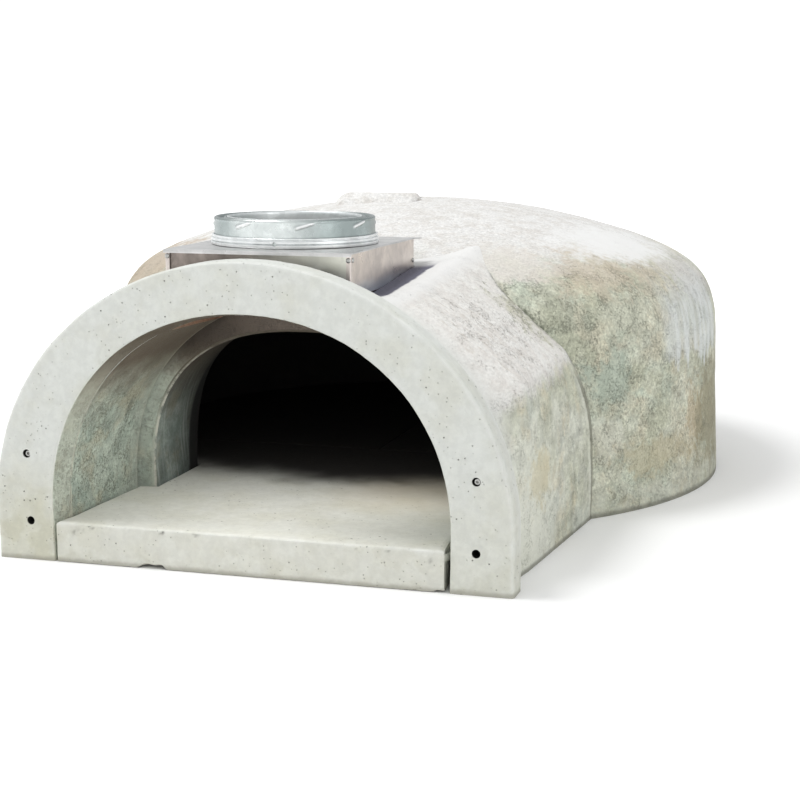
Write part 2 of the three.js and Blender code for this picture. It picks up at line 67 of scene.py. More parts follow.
# Arch-shaped outlines: foot, half-width, spring height, rise, power of the superellipse.
ARCH_OUTER = np.array([404, 404, 90, 374, 1.98])
MOUTH_FRONT = np.array([310.5, 312, 85, 303, 2.1])
MOUTH_BACK = np.array([304, 304, 85, 296, 2.1])
TUNNEL_END = np.array([293, 293, 85, 291, 2.1])
THROAT_FRONT = np.array([266, 266, 85, 240, 2.45])
THROAT_BACK = np.array([264, 264, 85, 246, 2.45])
RING_OUTER = np.array([343, 343, 85, 292, 2.1])
NECK_FRONT = np.array([384, 388, 90, 362, 1.98])
GROW = np.array([1, 1, 0, 1, 0])

ARCH_DEPTH = 44.0
ARCH_EDGE = 5.5
TUNNEL_LENGTH = 258.0
RING_FRONT = 266.0
THROAT_END = 420.0
NECK_END = 560.0

FACE_HOLES = {
    "lower_left": (-349, 61),
    "lower_right": (349, 61),
    "upper_left": (-351.5, 164.6),
    "upper_right": (349, 164.6),
}
FACE_HOLE_RADIUS = 6.5
HOLE_ASIDE = 349.7  # the holes' mean distance from the middle
SMALL_EDGE = 3.0  # rounding of the arch's inner and rear edges
CUT_REACH = 700.0

NECK_FOOT = (384, 0.0875)
NECK_LOW = ((388, 272), (-0.012, 0.028))
NECK_HIGH = ((208, 405), (0.0, 0.078))
NECK_BULGE = 8.0
NECK_DIP = 11.5
NECK_BLEND = 110.0
NECK_POINTS = 130  # outline points from the foot to the crown
NECK_CREASE = 8.0  # softness of the creases

DOME_X = 7.0
DOME_Y = 871.0
DOME_NARROWING = 0.994
DOME_FOOT = 572.5
DOME_RADIUS = 565.5
DOME_HEIGHT = 498.4
DOME_WALL = 57.0
ROOF_RADIUS = 1290.0
ROOF_JOIN = 338.0
ROOF_HANDLE = 247.0
SHOULDER_START = 171.0
SHOULDER_RISE = 184.0
DOME_SPLIT = 870.0

BOSS = {"y": 815, "radius": 37.5, "top": 511.5, "left": -128, "taper": 18, "right": 28, "tip": 26}

SLAB_TOP = 62.0
SLAB_EDGE = 5.5
SLAB_LEFT_GAP = 4.5
SLAB_RIGHT_GAP = 8.0
SLAB_SEAM = 640.0
SLAB_RADIUS = 506.0

BOX_HALF = 145.0
BOX_FRONT = 68.0
BOX_BACK = 387.0
BOX_SEAT = 404.0
BOX_TOP = 469.0
SHEET = 1.6
FLANGE = 7.0
LIP = 1.5
PLATE_TAIL = 40.0
SKIRT_HALF = 140.0
SKIRT_FRONT = 73.0
SKIRT_BACK = 256.5
SKIRT_TOP = 440.0

COLLAR_Y = 231.0
COLLAR_TOP = 511.0
CASING_RADIUS = 123.7
BASE_RADIUS = 129.0
LINER_RADIUS = 101.6
LINER_FOOT = 452.0
SCREW_TURN = math.radians(6.5)
SCREW_HEIGHT = 475.7
SCREW_HOLE_RADIUS = 3.3


# ---- Mesh helpers ----


def grid_faces(rows, columns, wrap_rows=False, wrap_columns=False):
    """Quads between the rows and columns of a point grid."""
    i = np.arange(rows if wrap_rows else rows - 1)
    j = np.arange(columns if wrap_columns else columns - 1)
    i, j = np.meshgrid(i, j, indexing="ij")
    i2 = (i + 1) % rows
    j2 = (j + 1) % columns
    corners = [i * columns + j, i * columns + j2, i2 * columns + j2, i2 * columns + j]
    return np.stack(corners, -1).reshape(-1, 4).tolist()


def add_mesh(name, points, faces):
    """A mesh object from points in oven millimetres, with its faces turned outward."""
    mesh = bpy.data.meshes.new(name)
    flat = to_row(np.asarray(points).reshape(-1, 3))
    mesh.from_pydata(flat.tolist(), [], faces)
    mesh.validate()
    mesh.update()
    obj = bpy.data.objects.new(name, mesh)
    bpy.context.scene.collection.objects.link(obj)
    if volume(mesh) < 0:
        mesh.flip_normals()
    return obj


def read(items, key, kind=float):
    """One three-part value of every item, as an array."""
    values = np.empty(len(items) * 3, dtype=kind)
    items.foreach_get(key, values)
    return values.reshape(-1, 3)


def volume(mesh):
    mesh.calc_loop_triangles()
    corners = read(mesh.vertices, "co")[read(mesh.loop_triangles, "vertices", np.int32)]
    cross = np.cross(corners[:, 1], corners[:, 2])
    return float((corners[:, 0] * cross).sum() / 6)


def oven_points(obj):
    """The object's vertices in oven millimetres."""
    points = read(obj.data.vertices, "co")
    points[:, 1] -= FACE_Y
    return points / MM


def set_points(obj, points):
    """Moves the mesh's vertices to points given in oven millimetres."""
    obj.data.vertices.foreach_set("co", to_row(points).ravel())
    obj.data.update()


def skin(name, grid, wrap_rows=False, wrap_columns=False):
    """A closed solid over a point grid; each open direction is capped at both ends."""
    grid = np.asarray(grid, dtype=float)
    rows, columns = grid.shape[:2]
    faces = grid_faces(rows, columns, wrap_rows, wrap_columns)
    index = np.arange(rows * columns).reshape(rows, columns)
    if not wrap_rows:
        faces += [index[0][::-1].tolist(), index[-1].tolist()]
    if not wrap_columns:
        faces += [index[:, 0].tolist(), index[:, -1][::-1].tolist()]
    return add_mesh(name, grid, faces)


def loft(name, outlines, stations):
    """A solid over closed [x, z] outlines standing at the given y stations."""
    grid = [np.insert(outline, 1, y, axis=1) for outline, y in zip(outlines, stations)]
    return skin(name, np.stack(grid), wrap_columns=True)


def turned(name, profile, y, sides, closed=False):
    """A solid of revolution about the upright axis at y; the profile lists [radius, z]."""
    profile = np.asarray(profile, dtype=float)
    turn = np.linspace(0, 2 * math.pi, sides, endpoint=False)
    radius, height = profile[:, :1], profile[:, 1:]
    ring = [radius * np.cos(turn), y + radius * np.sin(turn), height + 0 * turn]
    return skin(name, np.stack(ring, -1), wrap_rows=closed, wrap_columns=True)


def block(name, low, high):
    (x0, y0, z0), (x1, y1, z1) = low, high
    ring = [(x0, y0), (x1, y0), (x1, y1), (x0, y1)]
    grid = [[(x, y, z) for x, y in ring] for z in (z0, z1)]
    return skin(name, grid, wrap_columns=True)


def rod(name, start, end, radii, sides=24):
    """A round bar whose radius changes evenly through the listed values and places."""
    start = np.array(start, dtype=float)
    along = np.array(end, dtype=float) - start
    axis = Vector(along).normalized()
    across = np.array(axis.orthogonal().normalized())
    other = np.cross(np.array(axis), across)
    turn = np.linspace(0, 2 * math.pi, sides, endpoint=False)[:, None]
    circle = np.cos(turn) * across + np.sin(turn) * other
    grid = [start + along * share + circle * radius for share, radius in radii]
    return skin(name, grid, wrap_columns=True)


def bar(start, end, radius, sides=24):
    """A plain round bar, to cut with."""
    return rod("bar", start, end, [(0, radius), (1, radius)], sides)


def baked(obj):
    """Applies the object's modifiers to its mesh."""
    graph = bpy.context.evaluated_depsgraph_get()
    mesh = bpy.data.meshes.new_from_object(obj.evaluated_get(graph))
    obj.modifiers.clear()
    obj.data = mesh
    return obj


def combine(obj, operation, *tools):
    for tool in tools:
        step = obj.modifiers.new(operation, "BOOLEAN")
        step.operation = operation
        step.solver = "MANIFOLD"
        step.object = tool
        baked(obj)
        bpy.data.objects.remove(tool)
    return obj


def cut(obj, *tools):
    return combine(obj, "DIFFERENCE", *tools)


def join(obj, *tools):
    return combine(obj, "UNION", *tools)


def copied(obj, name):
    twin = obj.copy()
    twin.data = obj.data.copy()
    twin.name = name
    bpy.context.scene.collection.objects.link(twin)
    return twin


def noise_at(points, size, seed, octaves=1):
    """Smooth noise from about -1 to 1 at each point, with features about size mm wide."""
    shift = Vector((seed * 17.3, seed * 5.9, seed * 11.1))
    values = np.zeros(len(points))
    for octave in range(octaves):
        scale = 2.0**octave / size
        layer = [noise.noise(Vector(p) * scale + shift) for p in points]
        values += np.array(layer) / 2.0**octave
    return values


def roughen(obj, layers):
    """Moves the vertices along their normals by layers of (size, amount, octaves) noise."""
    points = oven_points(obj)
    normals = read(obj.data.vertex_normals, "vector")
    shift = np.zeros(len(points))
    for seed, (size, amount, octaves) in enumerate(layers, start=1):
        shift += amount * noise_at(points, size, seed, octaves)
    shift *= np.clip(points[:, 2] / 6.0, 0, 1)
    shift -= FACE_SETBACK * (points[:, 1] < 0.5)
    moved = points + normals * shift[:, None]
    moved[:, 1] = np.maximum(moved[:, 1], 0)
    set_points(obj, moved)


def paint(obj, name, values):
    """Stores a value for each vertex, for the material to read."""
    layer = obj.data.attributes.new(name, "FLOAT", "POINT")
    layer.data.foreach_set("value", np.asarray(values, dtype=np.float32))


def finish(obj, nodes, looks, sharp=35.0, choose=None):
    """Gives a piece its shading, its materials, its body and the CAD nodes it stands for."""
    mesh = obj.data
    mesh.materials.clear()
    for look in looks:
        mesh.materials.append(materials[look])
    if choose:
        assign(obj, choose)
    mesh.polygons.foreach_set("use_smooth", [True] * len(mesh.polygons))
    mesh.set_sharp_from_angle(angle=math.radians(sharp))
    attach(obj, BODY)
    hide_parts(*nodes)


def assign(obj, chooser):
    """Sets each face's material number from its centre, in oven mm, and its normal."""
    faces = obj.data.polygons
    centres = read(faces, "center")
    centres[:, 1] -= FACE_Y
    chosen = chooser(centres / MM, read(faces, "normal"))
    faces.foreach_set("material_index", np.asarray(chosen, dtype=np.int32))


def smoothstep(value, low, high):
    t = np.clip((np.asarray(value, dtype=float) - low) / (high - low), 0, 1)
    return t * t * (3 - 2 * t)


# ---- Outlines ----


def arch_outline(arch, legs=14, steps=90, bottom=0.0):
    """[x, z] points from the right foot over the crown to the left foot."""
    foot, half, spring, rise, power = arch
    share = np.linspace(0, 1, legs, endpoint=False)
    leg = np.stack([foot + (half - foot) * share, bottom + (spring - bottom) * share], -1)
    turn = np.linspace(0, math.pi / 2, steps + 1)
    across = half * np.clip(np.cos(turn), 0, None) ** (2 / power)
    up = spring + rise * np.sin(turn) ** (2 / power)
    right = np.vstack([leg, np.stack([across, up], -1)])
    right[-1, 0] = 0
    return np.vstack([right, right[-2::-1] * [-1, 1]])


def resampled(line, count):
    """Points at even distances along a polyline."""
    steps = np.hypot(*np.diff(line, axis=0).T)
    along = np.insert(np.cumsum(steps), 0, 0)
    even = np.linspace(0, along[-1], count)
    return np.stack([np.interp(even, along, line[:, k]) for k in (0, 1)], -1)


def softened(line, width):
    """A polyline with its corners rounded over about the given width."""
    spacing = np.hypot(*np.diff(line, axis=0).T).mean()
    reach = int(3 * width / spacing) + 1
    weights = np.exp(-0.5 * (np.arange(-reach, reach + 1) * spacing / width) ** 2)
    weights /= weights.sum()
    before = 2 * line[0] - line[reach:0:-1]
    after = 2 * line[-1] - line[-2 : -reach - 2 : -1]
    padded = np.vstack([before, line, after])
    return np.stack([np.convolve(padded[:, k], weights, "valid") for k in (0, 1)], -1)


def neck_outline(y):
    """The neck's section: a leaning side wall, a facet and a roof that dips between ridges."""
    depth = y - ARCH_DEPTH
    low = np.array(NECK_LOW[0]) + np.array(NECK_LOW[1]) * depth
    high = np.array(NECK_HIGH[0]) + np.array(NECK_HIGH[1]) * depth
    foot = NECK_FOOT[0] + NECK_FOOT[1] * depth
    t = np.linspace(0, 1, 60)[:, None]
    side = np.hstack([foot - (foot - low[0]) * t**4, low[1] * t])
    across = high - low
    out = np.array([across[1], -across[0]]) / np.hypot(*across)
    facet = low + across * t + out * NECK_BULGE * 4 * t * (1 - t)
    roof = np.hstack([high[0] * (1 - t), high[1] - NECK_DIP * (1 - (1 - t) ** 6)])
    section = resampled(np.vstack([side, facet[1:], roof[1:]]), NECK_POINTS)
    section = softened(section, NECK_CREASE)
    arch = arch_outline(NECK_FRONT)
    arch = resampled(arch[: len(arch) // 2 + 1], NECK_POINTS)
    share = smoothstep(depth, 0, NECK_BLEND)
    half = arch * (1 - share) + section * share
    half[-1, 0] = 0
    half[0, 1] = 0
    return np.vstack([half, half[-2::-1] * [-1, 1]])


def dome_profile(inset=0.0, bottom=0.0, step=8.0):
    """[radius, z] points from the foot to just short of the crown."""
    centre = DOME_HEIGHT - ROOF_RADIUS
    angle = math.asin(ROOF_JOIN / ROOF_RADIUS)
    join_height = centre + ROOF_RADIUS * math.cos(angle)
    ends = np.array(
        [
            [DOME_RADIUS, SHOULDER_START],
            [DOME_RADIUS, SHOULDER_START + SHOULDER_RISE],
            [
                ROOF_JOIN + ROOF_HANDLE * math.cos(angle),
                join_height - ROOF_HANDLE * math.sin(angle),
            ],
            [ROOF_JOIN, join_height],
        ]
    )
    t = np.linspace(0, 1, 200)[:, None]
    weights = [(1 - t) ** 3, 3 * (1 - t) ** 2 * t, 3 * (1 - t) * t * t, t**3]
    shoulder = sum(w * p for w, p in zip(weights, ends))
    slope = (DOME_FOOT - DOME_RADIUS) / SHOULDER_START
    foot = np.array([[DOME_FOOT - slope * bottom, bottom]])
    turn = np.linspace(angle, 0.002, 80)[1:, None]
    roof = np.hstack([ROOF_RADIUS * np.sin(turn), centre + ROOF_RADIUS * np.cos(turn)])
    line = np.vstack([foot, shoulder, roof])
    direction = np.gradient(line, axis=0)
    direction /= np.hypot(*direction.T)[:, None]
    line = line + np.stack([-direction[:, 1], direction[:, 0]], -1) * inset
    line[0, 1] = bottom
    length = np.hypot(*np.diff(line, axis=0).T).sum()
    line = resampled(line, int(length / step))
    line[-1, 0] = max(line[-1, 0], 1.0)
    return line


# ---- Material helpers ----


class Term:
    """A value that a shader works out; + - * and abs() add the nodes for them."""

    def __init__(self, shader, socket):
        self.shader = shader
        self.socket = socket

    def __add__(self, other):
        return self.shader.maths("ADD", self, other)

    def __sub__(self, other):
        return self.shader.maths("SUBTRACT", self, other)

    def __rsub__(self, other):
        return self.shader.maths("SUBTRACT", other, self)

    def __mul__(self, other):
        return self.shader.maths("MULTIPLY", self, other)

    def __abs__(self):
        return self.shader.maths("ABSOLUTE", self)

    def fade(self, start, end):
        return self.shader.fade(self, start, end)


class Shader:
    """Builds one material. Most methods add nodes and return the Term to use next."""

    def __init__(self, name):
        self.material = bpy.data.materials.new(name)
        self.material.use_nodes = True
        self.tree = self.material.node_tree
        self.surface = self.tree.nodes["Principled BSDF"]
        self.place = self.term("ShaderNodeTexCoord", {}, "Object")
        self.x, self.y, self.z = self.split(self.place)
        self.bump_height = None

    def add(self, kind, inputs, **settings):
        """A new node with its settings made and its inputs fed."""
        node = self.tree.nodes.new(kind)
        for key, value in settings.items():
            setattr(node, key, value)
        for key, value in inputs.items():
            self.feed(node.inputs[key], value)
        return node

    def term(self, kind, inputs, output=0, **settings):
        return Term(self, self.add(kind, inputs, **settings).outputs[output])

    def feed(self, socket, value):
        if isinstance(value, Term):
            self.tree.links.new(value.socket, socket)
        elif socket.type == "RGBA":
            socket.default_value = (*value, 1.0)
        else:
            socket.default_value = value

    def maths(self, operation, *values):
        return self.term("ShaderNodeMath", dict(enumerate(values)), operation=operation)

    def split(self, vector):
        node = self.add("ShaderNodeSeparateXYZ", {0: vector})
        return [Term(self, output) for output in node.outputs]

    def vector(self, x, y, z):
        return self.term("ShaderNodeCombineXYZ", {0: x, 1: y, 2: z})

    def stretched(self, vector, factors):
        inputs = {0: vector, 1: factors}
        return self.term("ShaderNodeVectorMath", inputs, operation="MULTIPLY")

    def noise(self, size, detail=3.0, rough=0.55, warp=0.0, at=None):
        """Noise from 0 to 1 with features about size mm wide."""
        inputs = {
            "Vector": at or self.place,
            "Scale": 1.0 / (size * MM),
            "Detail": detail,
            "Roughness": rough,
            "Distortion": warp,
        }
        return self.term("ShaderNodeTexNoise", inputs, "Fac")

    def fade(self, value, start, end):
        """0 at start to 1 at end, smoothly."""
        low, high = (0.0, 1.0) if start < end else (1.0, 0.0)
        inputs = {
            "Value": value,
            "From Min": min(start, end),
            "From Max": max(start, end),
            "To Min": low,
            "To Max": high,
        }
        kind = "ShaderNodeMapRange"
        return self.term(kind, inputs, "Result", interpolation_type="SMOOTHSTEP")

    def behind(self, start, end):
        """Fades between two depths behind the arch's face, in millimetres."""
        return self.y.fade(along(start), along(end))

    def mix(self, share, a, b, blend="MIX"):
        inputs = {0: share, 6: a, 7: b}
        return self.term("ShaderNodeMix", inputs, 2, data_type="RGBA", blend_type=blend)

    def over(self, color, *layers):
        """Lays tints over a colour, one after another, each by its own share."""
        for share, tint in layers:
            color = self.mix(share, color, tint)
        return color

    def shaded(self, color, value, low, high):
        """Multiplies a colour by low to high as the value goes from 0 to 1."""
        shade = value * (high - low) + low
        return self.mix(1.0, color, self.vector(shade, shade, shade), "MULTIPLY")

    def cells(self, size, at=None):
        """Cells of the given size: distance from the middle, and two random values."""
        inputs = {"Vector": at or self.place, "Scale": 1.0 / (size * MM)}
        node = self.add("ShaderNodeTexVoronoi", inputs)
        color = Term(self, node.outputs["Color"])
        pick = self.add("ShaderNodeSeparateColor", {0: color})
        sockets = (node.outputs["Distance"], pick.outputs[0], pick.outputs[1])
        return [Term(self, socket) for socket in sockets]

    def dots(self, size, radius, share, at=None):
        """Round specks: one to a cell of the given size, kept in that share of the cells."""
        distance, order, swell = self.cells(size, at)
        near = (swell * 0.5 + 0.5) * (radius / size) - distance
        inside = near.fade(-0.25 * radius / size, 0.25 * radius / size)
        return inside * self.maths("LESS_THAN", order, share)

    def blotch(self, centre, radii, grain=14.0, ragged=1.0):
        """1 inside a ragged patch of about the given size, in oven mm, and 0 outside."""
        scale = [1.0 / (r * MM) for r in radii]
        middle = [float(m) for m in to_row(centre) * scale]
        inputs = {0: self.stretched(self.place, scale), 1: middle}
        away = self.term("ShaderNodeVectorMath", inputs, "Value", operation="DISTANCE")
        coarse = (self.noise(grain * 4, 3, 0.6) - 0.5) * (1.9 * ragged)
        fine = (self.noise(grain, 4, 0.75) - 0.5) * (1.5 * ragged)
        return (away + coarse + fine).fade(1.15, 0.45)

    def attribute(self, name):
        return self.term("ShaderNodeAttribute", {}, "Fac", attribute_name=name)

    def raise_by(self, *heights):
        """Adds bump heights, in millimetres."""
        for height in heights:
            self.bump_height = self.bump_height + height if self.bump_height else height

    def done(self, color, roughness, metallic=0.0):
        values = {"Base Color": color, "Roughness": roughness, "Metallic": metallic}
        if self.bump_height:
            inputs = {"Strength": 1.0, "Distance": MM, "Height": self.bump_height}
            values["Normal"] = self.term("ShaderNodeBump", inputs)
        for key, value in values.items():
            self.feed(self.surface.inputs[key], value)
        return self.material


# ---- Concrete ----

PALE = (0.605, 0.62, 0.585)
WARM = (0.52, 0.515, 0.42)
# painted contact shade along the foot of the castings
FOOT_SHADE = (0.16, 0.16, 0.13)

# The plain, dark, warm and cool tones of each rough casting.
DOME_TONES = ((0.55, 0.56, 0.46), (0.44, 0.45, 0.345), (0.54, 0.50, 0.38), (0.48, 0.53, 0.435))
NECK_TONES = ((0.55, 0.56, 0.48), (0.47, 0.48, 0.38), (0.56, 0.51, 0.37), (0.50, 0.53, 0.46))
GALLERY_TONES = ((0.46, 0.52, 0.44), (0.33, 0.39, 0.33), (0.47, 0.45, 0.33), (0.38, 0.46, 0.39))
# the throat's tones are a darker copy: painted shade deep in the oven
THROAT_TONES = ((0.27, 0.31, 0.28), (0.16, 0.19, 0.17), (0.24, 0.23, 0.17), (0.22, 0.27, 0.24))

# Stains on the dome, one of them painted shade: middle and radii in oven mm, colour, strength.
TAN = (0.50, 0.42, 0.32)
DOME_STAINS = (
    ((395, 610, 395), (105, 150, 50), TAN, 0.6),
    ((480, 700, 375), (60, 120, 55), (0.50, 0.45, 0.36), 0.5),
    ((290, 500, 422), (120, 90, 38), (0.61, 0.575, 0.53), 0.65),
    ((530, 830, 375), (55, 130, 75), (0.58, 0.565, 0.54), 0.85),
    ((440, 520, 225), (55, 60, 60), (0.36, 0.43, 0.36), 0.6),
    ((455, 560, 330), (80, 70, 50), (0.40, 0.41, 0.31), 0.3),
    ((430, 510, 130), (40, 50, 45), (0.60, 0.60, 0.51), 0.5),
    ((510, 620, 85), (110, 130, 38), (0.44, 0.39, 0.26), 0.6),
    ((553, 740, 135), (30, 50, 60), (0.42, 0.30, 0.17), 0.5),
    # painted shade low on the right edge, where the wall turns from the light
    ((575, 830, 120), (30, 150, 110), (0.28, 0.26, 0.17), 0.75),
    ((-430, 600, 380), (150, 190, 80), (0.43, 0.35, 0.27), 0.8),
    ((-520, 1050, 300), (90, 200, 90), TAN, 0.5),
    ((250, 1380, 350), (200, 90, 70), TAN, 0.5),
)


def along(depth):
    """The frame's y for a depth behind the arch's face."""
    return float(to_row((0, depth, 0))[1])


def smooth_concrete(name, pale, warm, bloom_top, depth_fade=None, holes=False):
    """Fine cast concrete: nearly even, with pinholes, faint mottling and rubbed edges; painted highlight
    on the edges and painted shade at the foot and in hollows.
    """
    s = Shader(name)
    cloud = s.noise(90, 4, 0.6).fade(0.42, 0.66)
    low = (s.z + s.noise(70, 4, 0.65) * 0.16).fade(0.27, 0.06)
    left = s.x.fade(-0.29, -0.34) * low * 0.9
    color = s.mix(cloud * 0.32 + low * 0.5 + left, pale, warm)
    bloom = s.noise(34, 3, 0.5).fade(0.5, 0.58) * s.z.fade(bloom_top + 0.004, bloom_top)
    color = s.mix(bloom * low * 0.35, color, (0.68, 0.69, 0.64))
    color = s.shaded(color, s.noise(16, 4, 0.65, 0.4).fade(0.36, 0.66), 0.955, 1.03)
    fleck = s.noise(7, 4, 0.7)
    color = s.shaded(color, fleck, 0.92, 1.08)
    large = s.dots(11, 1.7, 0.7) * s.noise(60, 2).fade(0.42, 0.58)
    small = s.dots(6.5, 1.0, 0.6) * s.noise(45, 2).fade(0.44, 0.58)
    pinholes = s.maths("MAXIMUM", large, small * 0.7)
    foot = s.z + s.noise(14, 3, 0.7) * -0.008
    # painted shade on the mouth's inner edge and at the foot, painted highlight with wear on the rubbed
    # edges, grime with painted shade in the dents
    color = s.over(
        color,
        (pinholes * 0.75, (0.12, 0.12, 0.10)),
        (s.attribute("inner") * 0.7, (0.44, 0.45, 0.35)),
        (s.attribute("wear_and_highlight") * 0.45, (0.74, 0.75, 0.73)),
        (foot.fade(0.006, -0.002) * 0.7, (0.30, 0.29, 0.24)),
        (s.attribute("grime_and_shade") * 0.85, (0.13, 0.125, 0.105)),
    )
    # painted shade: the hearth goes dark deeper inside the oven
    if depth_fade:
        start, end, shade_color = depth_fade
        wander = (s.noise(90, 2) - 0.5) * 0.07
        lit_share = (s.y + wander + abs(s.x + 0.02) * -0.22).fade(along(end), along(start))
        into_shade = 1.0 - s.maths("POWER", lit_share, 2.2)
        singed = (s.y + wander).fade(along(start - 170), along(start + 60))
        singed *= s.x.fade(-0.02, 0.14)
        color = s.over(color, (singed * 0.5, (0.54, 0.45, 0.31)), (into_shade, shade_color))
    # painted shade: the fixing holes are dark inside
    if holes:  # the fixing holes are dark inside
        aside = abs(s.x) - HOLE_ASIDE * MM
        levels = [FACE_HOLES[key][1] * MM for key in ("lower_right", "upper_right")]
        above = s.maths("MINIMUM", *(abs(s.z - level) for level in levels))
        reach = s.maths("SQRT", aside * aside + above * above)
        inside = reach.fade(0.0105, 0.0095) * s.behind(1.0, 3.5)
        color = s.mix(inside, color, (0.015, 0.015, 0.012))
    s.raise_by(s.noise(9, 4, 0.65) * 0.35, s.noise(2.2, 2, 0.6) * 0.12, pinholes * -1.6)
    return s.done(color, fleck * 0.2 + 0.72)


def rough_base(s, fall, tones, grain, contrast=1.0):
    """Coarse weathered concrete; z runs downhill in fall, and grain places the fine texture."""
    plain, dark, warm, cool = tones
    other = s.noise(75, 4, 0.6, 0.4, at=s.stretched(s.place, (1, 1, 1.3)))
    color = s.over(
        plain,
        (s.noise(110, 4, 0.6).fade(0.40, 0.62), dark),
        (s.noise(64, 4, 0.6).fade(0.49, 0.66) * 0.65, warm),
        (other.fade(0.5, 0.68) * 0.7, cool),
    )
    color = s.shaded(color, s.noise(38, 4, 0.65).fade(0.36, 0.64), 0.86, 1.09)
    color = s.shaded(color, s.noise(13, 3, 0.65, at=grain).fade(0.34, 0.66), 0.90, 1.08)
    mottle = s.noise(4.6, 3, 0.7, at=grain)
    low, high = 1 - 0.15 * contrast, 1 + 0.13 * contrast
    color = s.shaded(color, mottle.fade(0.30, 0.70), low, high)
    specks = s.dots(5.5, 2.0, 0.5, at=grain) * s.noise(30, 3, 0.6).fade(0.46, 0.62)
    color = s.mix(specks * (0.35 * contrast), color, (0.20, 0.21, 0.16))
    streak = s.noise(17, 3, 0.55, at=s.stretched(fall, (1, 1, 0.15)))
    color = s.shaded(color, streak.fade(0.38, 0.66), 0.96, 1.03)
    s.raise_by(s.noise(7, 4, 0.65, at=grain) * (1.1 * contrast), specks * (-0.8 * contrast))
    return color, mottle


def pits(s, color, density, amount=0.5, tint=(0.15, 0.16, 0.12)):
    """Scattered dark pits; density from 0 to about 1 sets how much of the surface they take."""
    patch = (s.noise(30, 3, 0.65) - 0.5) * 0.5
    share = (s.noise(3.8, 3, 0.8) + density * 0.17 + patch).fade(0.56, 0.76)
    share *= s.fade(density, 0.0, 0.12)
    s.raise_by(share * -0.8)
    return s.mix(share * amount, color, tint)


def round_the_dome(s):
    """Coordinates round the dome in x and downhill in z, the distance out, and the angle."""
    centre_x, centre_y, _ = (float(c) for c in to_row((DOME_X, DOME_Y, 0)))
    dx = (s.x - centre_x) * (1 / DOME_NARROWING)
    dy = s.y - centre_y
    turn = s.maths("ARCTAN2", dy, dx)
    out = s.maths("SQRT", dx * dx + dy * dy)
    return s.vector(turn * 0.5, 0.0, s.z + out * -0.6), out, turn


def over_the_neck(s):
    """Coordinates back along the neck in x and down its section in z, and the angle."""
    turn = s.maths("ARCTAN2", s.z - 0.05, abs(s.x))
    return s.vector(s.y + turn * 0.06, 0.0, turn * 0.42), turn


def dome_concrete(name):
    s = Shader(name)
    fall, _, turn = round_the_dome(s)
    color, mottle = rough_base(s, fall, DOME_TONES, s.place)
    mottled = mottle.fade(0.3, 0.7)
    ragged = (s.noise(90, 4, 0.65) - 0.5) * 0.09 + (s.noise(13, 4, 0.75) - 0.5) * 0.05
    upper = (s.z + ragged).fade(0.375, 0.445)
    roof = s.mix(s.noise(26, 5, 0.7).fade(0.40, 0.66), (0.70, 0.695, 0.68), (0.61, 0.59, 0.56))
    color = s.mix(upper, color, s.shaded(roof, mottled, 0.90, 1.06))
    for centre, radii, tint, amount in DOME_STAINS:
        color = s.mix(s.blotch(centre, radii) * amount, color, tint)
    color = s.shaded(color, mottled, 0.93, 1.06)
    # painted shade: darker along the crease by the neck, where the pits also gather
    crease = s.blotch((376, 470, 340), (66, 50, 48), 10)
    color = s.mix(crease * 0.25, color, (0.34, 0.36, 0.28))
    density = s.z.fade(0.44, 0.34) * 0.22 + crease * 0.20
    density += s.blotch((430, 505, 215), (60, 50, 80), 10) * 0.12
    density += s.blotch((440, 600, 375), (120, 160, 60)) * 0.12
    white = s.blotch((405, 762, 432), (150, 175, 42), 12, 0.6)
    color = pits(s, color, density * (1.0 - white))
    # dirt with painted shade on the dome beside the neck
    near = s.attribute("crevice") + (s.noise(9, 4, 0.75) - 0.5)
    near += (s.noise(48, 3, 0.6) - 0.5) * 1.6
    level = s.z.fade(0.24, 0.33) * 0.45 + 0.4
    crevice_dirt_and_shade = near.fade(0.66, 1.05) * level * s.z.fade(0.405, 0.365)
    # the chalky run on the right, and lower down beside it a brown band, dirt with painted shade on the
    # side turned from the light
    smear = s.noise(19, 3, 0.55, at=s.stretched(fall, (1, 1, 0.10)))
    turn += ragged * 0.9
    reach = s.z + ragged + (smear - 0.5) * 0.10
    patch = turn.fade(-0.46, -0.36) * turn.fade(0.06, -0.06)
    patch = patch * reach.fade(0.232, 0.262) * reach.fade(0.395, 0.33)
    lee = turn.fade(-0.30, 0.05) * turn.fade(1.3, 0.7) * reach.fade(0.25, 0.20)
    foot = s.z.fade(0.052, 0.030) * s.noise(24, 4, 0.7).fade(0.36, 0.54)
    color = s.over(
        color,
        (crevice_dirt_and_shade, (0.15, 0.165, 0.12)),
        (white * 0.9, (0.735, 0.735, 0.725)),
        (patch * 0.6, (0.54, 0.56, 0.545)),
        (smear.fade(0.38, 0.58) * patch * 0.6, (0.67, 0.70, 0.69)),
        (lee * 0.42, (0.25, 0.22, 0.14)),
        (foot * 0.45, (0.56, 0.58, 0.50)),
        # painted contact shade at the foot
        (s.z.fade(0.012, 0.003) * 0.75, FOOT_SHADE),
    )
    return s.done(color, mottle * 0.18 + 0.78)


